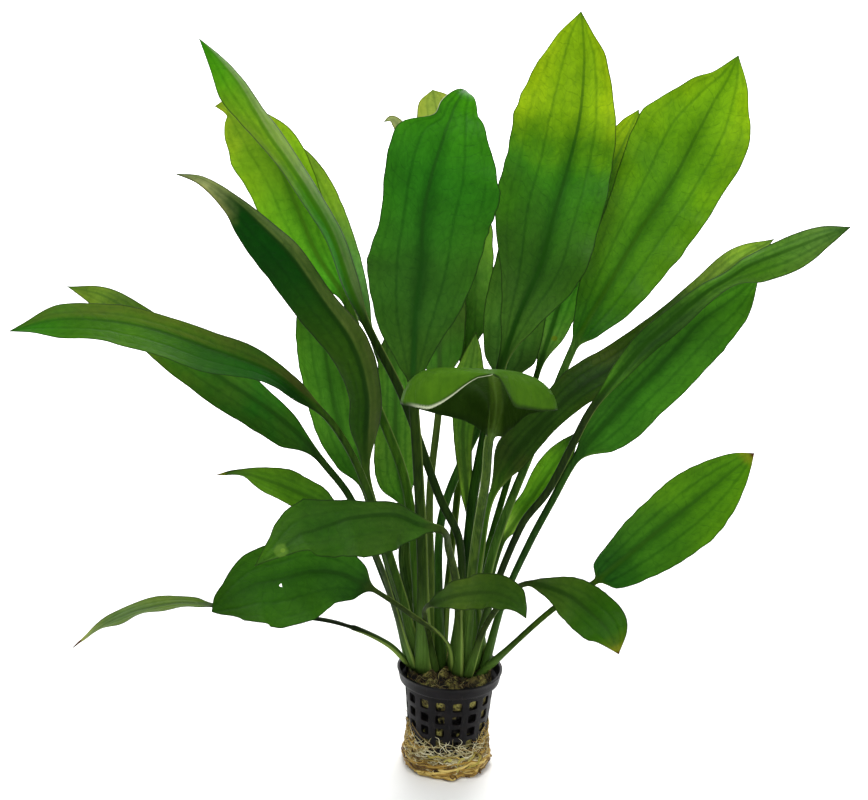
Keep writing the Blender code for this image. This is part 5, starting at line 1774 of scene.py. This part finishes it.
@dataclass(frozen=True)
class Tangle:
    """One kind of root: how many, how thick, where they start and how they run.

    size, rise, spin and low give the smallest and largest radius, climb, turn round the pot in radians and
    starting height. With follow the starting height is a share of the mat's top, else millimetres. arc is
    the middle of the part of the pot that they start on, and half its width in radians.
    """

    name: str
    count: int
    steps: int
    seed: int
    size: tuple
    rise: tuple
    spin: tuple
    low: tuple
    skin: Strand
    follow: bool = False
    arc: tuple = (0.0, math.pi)
    hop: tuple = (0.0, 0.9)
    sides: int = 6


GOLDEN = Strand(*tints((212, 188, 108), (164, 131, 54), (78, 51, 16)))
PALE = Strand(*tints((230, 226, 196), (190, 180, 130), (112, 92, 50)))
FRESH = Strand(*tints((190, 182, 100), (164, 150, 66), (120, 98, 40)))
FRONT, LEFT, RIGHT = -math.pi / 2, math.pi, 0.0
TANGLES = (
    Tangle(
        "roots_thick", 84, 46, 41, (0.3, 0.9), (-1.8, 2.8), (0.7, 2.3), (0.5, 6.4), GOLDEN,
        hop=(0.0, 1.7), sides=8,
    ),
    Tangle(
        "roots_mat", 240, 26, 47, (0.16, 0.38), (-5.0, 7.5), (0.2, 1.0), (0.15, 1.1), GOLDEN,
        follow=True,
    ),
    Tangle(
        "roots_tufts", 46, 12, 71, (0.35, 0.8), (-2.0, 1.0), (0.06, 0.3), (0.8, 3.4), GOLDEN,
        hop=(0.8, 2.6), sides=8,
    ),
    *(
        Tangle(name, 170, 22, seed, (0.1, 0.26), (-3.0, 10.0), (0.1, 0.6), (5.0, 19.0), GOLDEN, arc=arc)
        for name, seed, arc in (("roots_left", 52, (LEFT, 0.6)), ("roots_right", 53, (RIGHT, 0.6)))
    ),
    Tangle(
        "roots_net", 210, 26, 51, (0.12, 0.3), (-11.0, 10.0), (0.1, 0.9), (5.0, 17.0), PALE,
        arc=(FRONT, 1.25), hop=(0.1, 1.0),
    ),
    Tangle(
        "roots_stout", 8, 22, 57, (0.42, 0.7), (-8.0, 6.0), (0.2, 0.6), (8.0, 13.0), FRESH,
        arc=(FRONT, 0.9), hop=(0.5, 1.2), sides=8,
    ),
    Tangle(
        "roots_fine", 420, 18, 61, (0.06, 0.12), (-5.0, 8.0), (0.1, 0.7), (0.3, 1.4), GOLDEN,
        follow=True, sides=4,
    ),
)


@dataclass
class RootMat:
    """Roots matted round the foot of the pot: a pad, thick swirling roots and nets of thin ones.

    profile is the radius of the mat's skin by height, front_top the mat's height in front and behind, and
    side_rise how much higher it climbs on the left and right.
    """

    pot: NetPot
    profile: tuple = (
        (0.0, 15.6), (0.5, 18.8), (1.6, 20.6), (4.5, 21.7), (9.0, 21.7), (15.0, 21.2), (21.0, 21.4),
    )
    front_top: float = 4.2
    side_rise: float = 12.0
    around: int = 300
    tangles: tuple = TANGLES
    pad_skin: Fibrous = Fibrous(*tints((92, 68, 28), (46, 31, 11), (10, 6, 3)), 260.0, (1.0, 1.0, 3.4))
    pieces: list = field(default_factory=list)

    def top(self, turns: np.ndarray) -> np.ndarray:
        """Height of the mat round the pot: front_top + side_rise |cos t|^2.6, with a ripple of 0.9 mm.

        Args:
            turns: Angles round the pot.

        Returns:
            The heights.
        """
        return self.front_top + self.side_rise * np.abs(np.cos(turns)) ** 2.6 + 0.9 * ripple(turns * 2.2, 8)

    def reach(self, z: np.ndarray, turns: np.ndarray) -> np.ndarray:
        """Radius of the mat's skin: its profile, uneven at the foot, and the pot's wall above its top.

        Args:
            z: Heights.
            turns: Angles round the pot.

        Returns:
            The radii.
        """
        rows = np.array(self.profile)
        mat = np.interp(z, rows[:, 0], rows[:, 1])
        mat = mat + 0.9 * ripple(turns * 1.9 + 7.0, 77) * smooth(1.3 - z / 6.5)
        above = smooth((z - self.top(turns) + 1.6) / 2.4)
        return mat + (self.pot.radius(z) + 0.08 - mat) * above

    def pad(self) -> bpy.types.Object:
        """Make the pad: rings from the middle underneath, out and up the mat's skin, and back down inside.

        Its outside is the skin less 0.55, plus 0.5 lumps(9 mm) + 0.35 lumps(3.4 mm), drawn out level.

        Returns:
            The piece.
        """
        turns = circle(self.around)
        share = np.linspace(0, 1, 40)[:, None]
        z = share * (self.top(turns) + 0.6)
        radii = self.reach(z, turns) - 0.55
        spot = around_axis(radii, turns, z * 3.2).reshape(-1, 3)
        bulge = (0.5 * lumps(spot, 9.0, 31) + 0.35 * lumps(spot, 3.4, 32)).reshape(z.shape)
        outer = radii + bulge * smooth(share / 0.08)
        inner_z = np.array([1.0, 0.6, 0.25])[:, None] * (self.top(turns) + 0.2)
        under = around_axis(np.array([[6.0], [12.0]]), turns, np.array([[0.3], [0.2]]))
        inside = around_axis(np.array([[18.6], [8.0]]), turns, 3.5)
        inner = around_axis(self.pot.radius(inner_z) - 0.4, turns, inner_z)
        rings = np.concatenate([under, around_axis(outer, turns, z), inner, inside])
        # Painted shade: mid dark on the inner rings, darker in the dips of the outside.
        depth = np.full(rings.shape[:2], 0.5)
        depth[len(under) : len(under) + len(z)] = np.clip(0.6 - 0.7 * bulge, 0, 1)
        points, quads, triangles = close_rings(rings, [[0, 0, 0.3], [0, 0, 3.5]])
        marks = {"depth": np.concatenate([depth.ravel(), [0.5, 0.5]])}
        return add_mesh("root_pad", points, quads, triangles, marks)

    def strands(self, kind: Tangle) -> bpy.types.Object:
        """Roots of one kind on the mat's skin: each wanders round the pot and up or down.

        A root is t -> (angle0 + spin t + wander, z0 + rise t + wander), laid on the skin with its own
        height above it, so that the roots cross over one another.

        Args:
            kind: Their number, sizes and ways.

        Returns:
            The piece.
        """
        draw = np.random.default_rng(kind.seed)
        count, seed = kind.count, kind.seed
        share = np.linspace(0, 1, kind.steps)
        own = draw.uniform(0, 60, count)[:, None]
        way = draw.choice([-1.0, 1.0], count)
        spin = (way * draw.uniform(*kind.spin, count))[:, None]
        turns = kind.arc[0] + draw.uniform(-kind.arc[1], kind.arc[1], count)[:, None] + spin * (share - 0.5)
        turns = turns + 0.05 * ripple(share * 1.2 + own, seed + 1)
        scale = self.top(turns[:, :1]) if kind.follow else 1.0
        start = draw.uniform(*kind.low, count)[:, None] * scale
        z = start + draw.uniform(*kind.rise, count)[:, None] * share
        z = z + 0.9 * ripple(share * 1.2 + own * 1.7, seed + 2)
        taper = np.interp(share, [0, 0.06, 0.8, 1], [0.4, 1, 0.85, 0.25])
        radii = draw.uniform(*kind.size, count)[:, None] * taper
        z = np.clip(z, radii + 0.05, 29.0)
        hop = draw.uniform(*kind.hop, count)[:, None] * (0.6 + 0.5 * ripple(share * 2.2 + own, seed + 3))
        skin = self.reach(z, turns) + np.clip(hop, -0.1, kind.hop[1]) + radii * 0.6
        points, quads, triangles, which = tubes(around_axis(skin, turns, z), radii, kind.sides)
        tone = draw.beta(1.2, 1.1, count)
        return add_mesh(kind.name, points, quads, triangles, {"tone": tone[which]})

    def build(self) -> None:
        """Make the pad and every kind of root on it."""
        self.pieces = [self.pad(), *(self.strands(kind) for kind in self.tangles)]

    def dress(self) -> None:
        """Finish the pad and the roots."""
        for piece, skin in zip(self.pieces, (self.pad_skin, *(kind.skin for kind in self.tangles))):
            piece.data.materials.append(new_material(piece.name + "_skin", 0.6, 0.0003, skin))
            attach(piece, "root")
        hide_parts("root_mat")
        LOG.info("roots: %d faces", sum(len(piece.data.polygons) for piece in self.pieces))


@dataclass
class Studio:
    """Pale sweep, soft lights and the camera that looks at the plant from the front and a little above."""

    lens: float = 60.0
    sensor: float = 36.0
    eye: tuple = (-13.8, -690.0, 383.0)
    pitch: float = 15.1
    roll: float = 2.3
    lamps: tuple = (
        ("lamp_key", (-320, -520, 1000), 520, 8.0),
        ("lamp_fill", (620, -520, 620), 700, 2.5),
        ("lamp_back", (60, 560, 860), 620, 5.0),
    )
    backdrop_lamp: tuple = ((0, 700, 1500), (0, 2300, 500), 1400, 70.0)
    aim: tuple = (0.0, 0.0, 200.0)
    bend_from: float = 900.0
    bend_radius: float = 750.0

    def sweep(self) -> None:
        """Make the floor that curves up into a wall behind: z = (y - y0)^2 / 2R past y0."""
        across = np.linspace(-4000, 4000, 9)
        depth = np.concatenate([np.linspace(-3000, self.bend_from, 8), np.linspace(1000, 3200, 24)])
        x, y = np.meshgrid(across, depth, indexing="ij")
        z = np.where(y > self.bend_from, (y - self.bend_from) ** 2 / (2 * self.bend_radius), 0.0) - 0.05
        points = np.stack([x, y, z], axis=-1).reshape(-1, 3)
        i, j = np.meshgrid(np.arange(len(across) - 1), np.arange(len(depth) - 1), indexing="ij")
        near = i * len(depth) + j
        faces = np.stack([near, near + len(depth), near + len(depth) + 1, near + 1], axis=-1).reshape(-1, 4)
        floor = add_mesh("floor_sweep", points, faces, closed=False)
        material = bpy.data.materials.new("pale_paper")
        material.use_nodes = True
        shader = material.node_tree.nodes["Principled BSDF"]
        shader.inputs["Base Color"].default_value = (0.93, 0.93, 0.925, 1.0)
        shader.inputs["Roughness"].default_value = 0.9
        floor.data.materials.append(material)

    def hang(self, name: str, place: tuple, target: tuple, size: float, power: float) -> None:
        """Hang one round soft lamp at a place, aimed at a target.

        Args:
            name: Name of the lamp.
            place: Where it hangs.
            target: What it is aimed at.
            size: Its width.
            power: Its power in watts.
        """
        data = bpy.data.lights.new(name, "AREA")
        data.shape = "DISK"
        data.size = size * MM
        data.energy = power
        lamp = bpy.data.objects.new(name, data)
        lamp.location = Vector(place) * MM
        lamp.rotation_euler = (Vector(target) - Vector(place)).to_track_quat("-Z", "Y").to_euler()
        bpy.context.scene.collection.objects.link(lamp)

    def light(self) -> None:
        """Hang the soft lamps, each aimed at the middle of the plant, and lift the shadows."""
        for name, place, size, power in self.lamps:
            self.hang(name, place, self.aim, size, power)
        self.hang("lamp_backdrop", *self.backdrop_lamp)
        world = bpy.data.worlds.new("soft_room")
        world.use_nodes = True
        glow = world.node_tree.nodes["Background"].inputs
        glow["Color"].default_value = (1.0, 1.0, 1.0, 1.0)
        glow["Strength"].default_value = 0.34
        bpy.context.scene.world = world

    def look(self) -> None:
        """Set the camera: its tilt from the vertical, then its roll about its own axis."""
        data = bpy.data.cameras.new("view_front")
        data.lens = self.lens
        data.sensor_width = self.sensor
        data.clip_start = 0.01
        camera = bpy.data.objects.new("view_front", data)
        tilt = Matrix.Rotation(math.radians(90 - self.pitch), 4, "X")
        roll = Matrix.Rotation(math.radians(self.roll), 4, "Z")
        camera.matrix_world = Matrix.Translation(Vector(self.eye) * MM) @ tilt @ roll
        bpy.context.scene.collection.objects.link(camera)
        bpy.context.scene.camera = camera
        bpy.context.scene.view_settings.view_transform = "Standard"

    def build(self) -> None:
        """Set the sweep, the lamps and the camera."""
        self.sweep()
        self.light()
        self.look()


def corners(bounds: tuple) -> list:
    """Lowest and highest corner as plain lists of numbers."""
    return [[float(value) for value in corner] for corner in bounds]


def main() -> None:
    """Load the fixed frame, set the studio, then build and dress every sub-assembly."""
    logging.basicConfig(level=logging.INFO, format="%(message)s")
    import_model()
    studio = Studio()
    studio.build()
    pot = NetPot()
    assemblies = [
        pot,
        GrowingPlug(pot),
        Crown("crown_left_grown", "crown_left", LEFT_CROWN),
        Crown("crown_right_grown", "crown_right", RIGHT_CROWN),
        RootMat(pot),
        Foliage(LEAVES),
    ]
    for assembly in assemblies:
        assembly.build()
        assembly.dress()


if __name__ == "__main__":
    main()
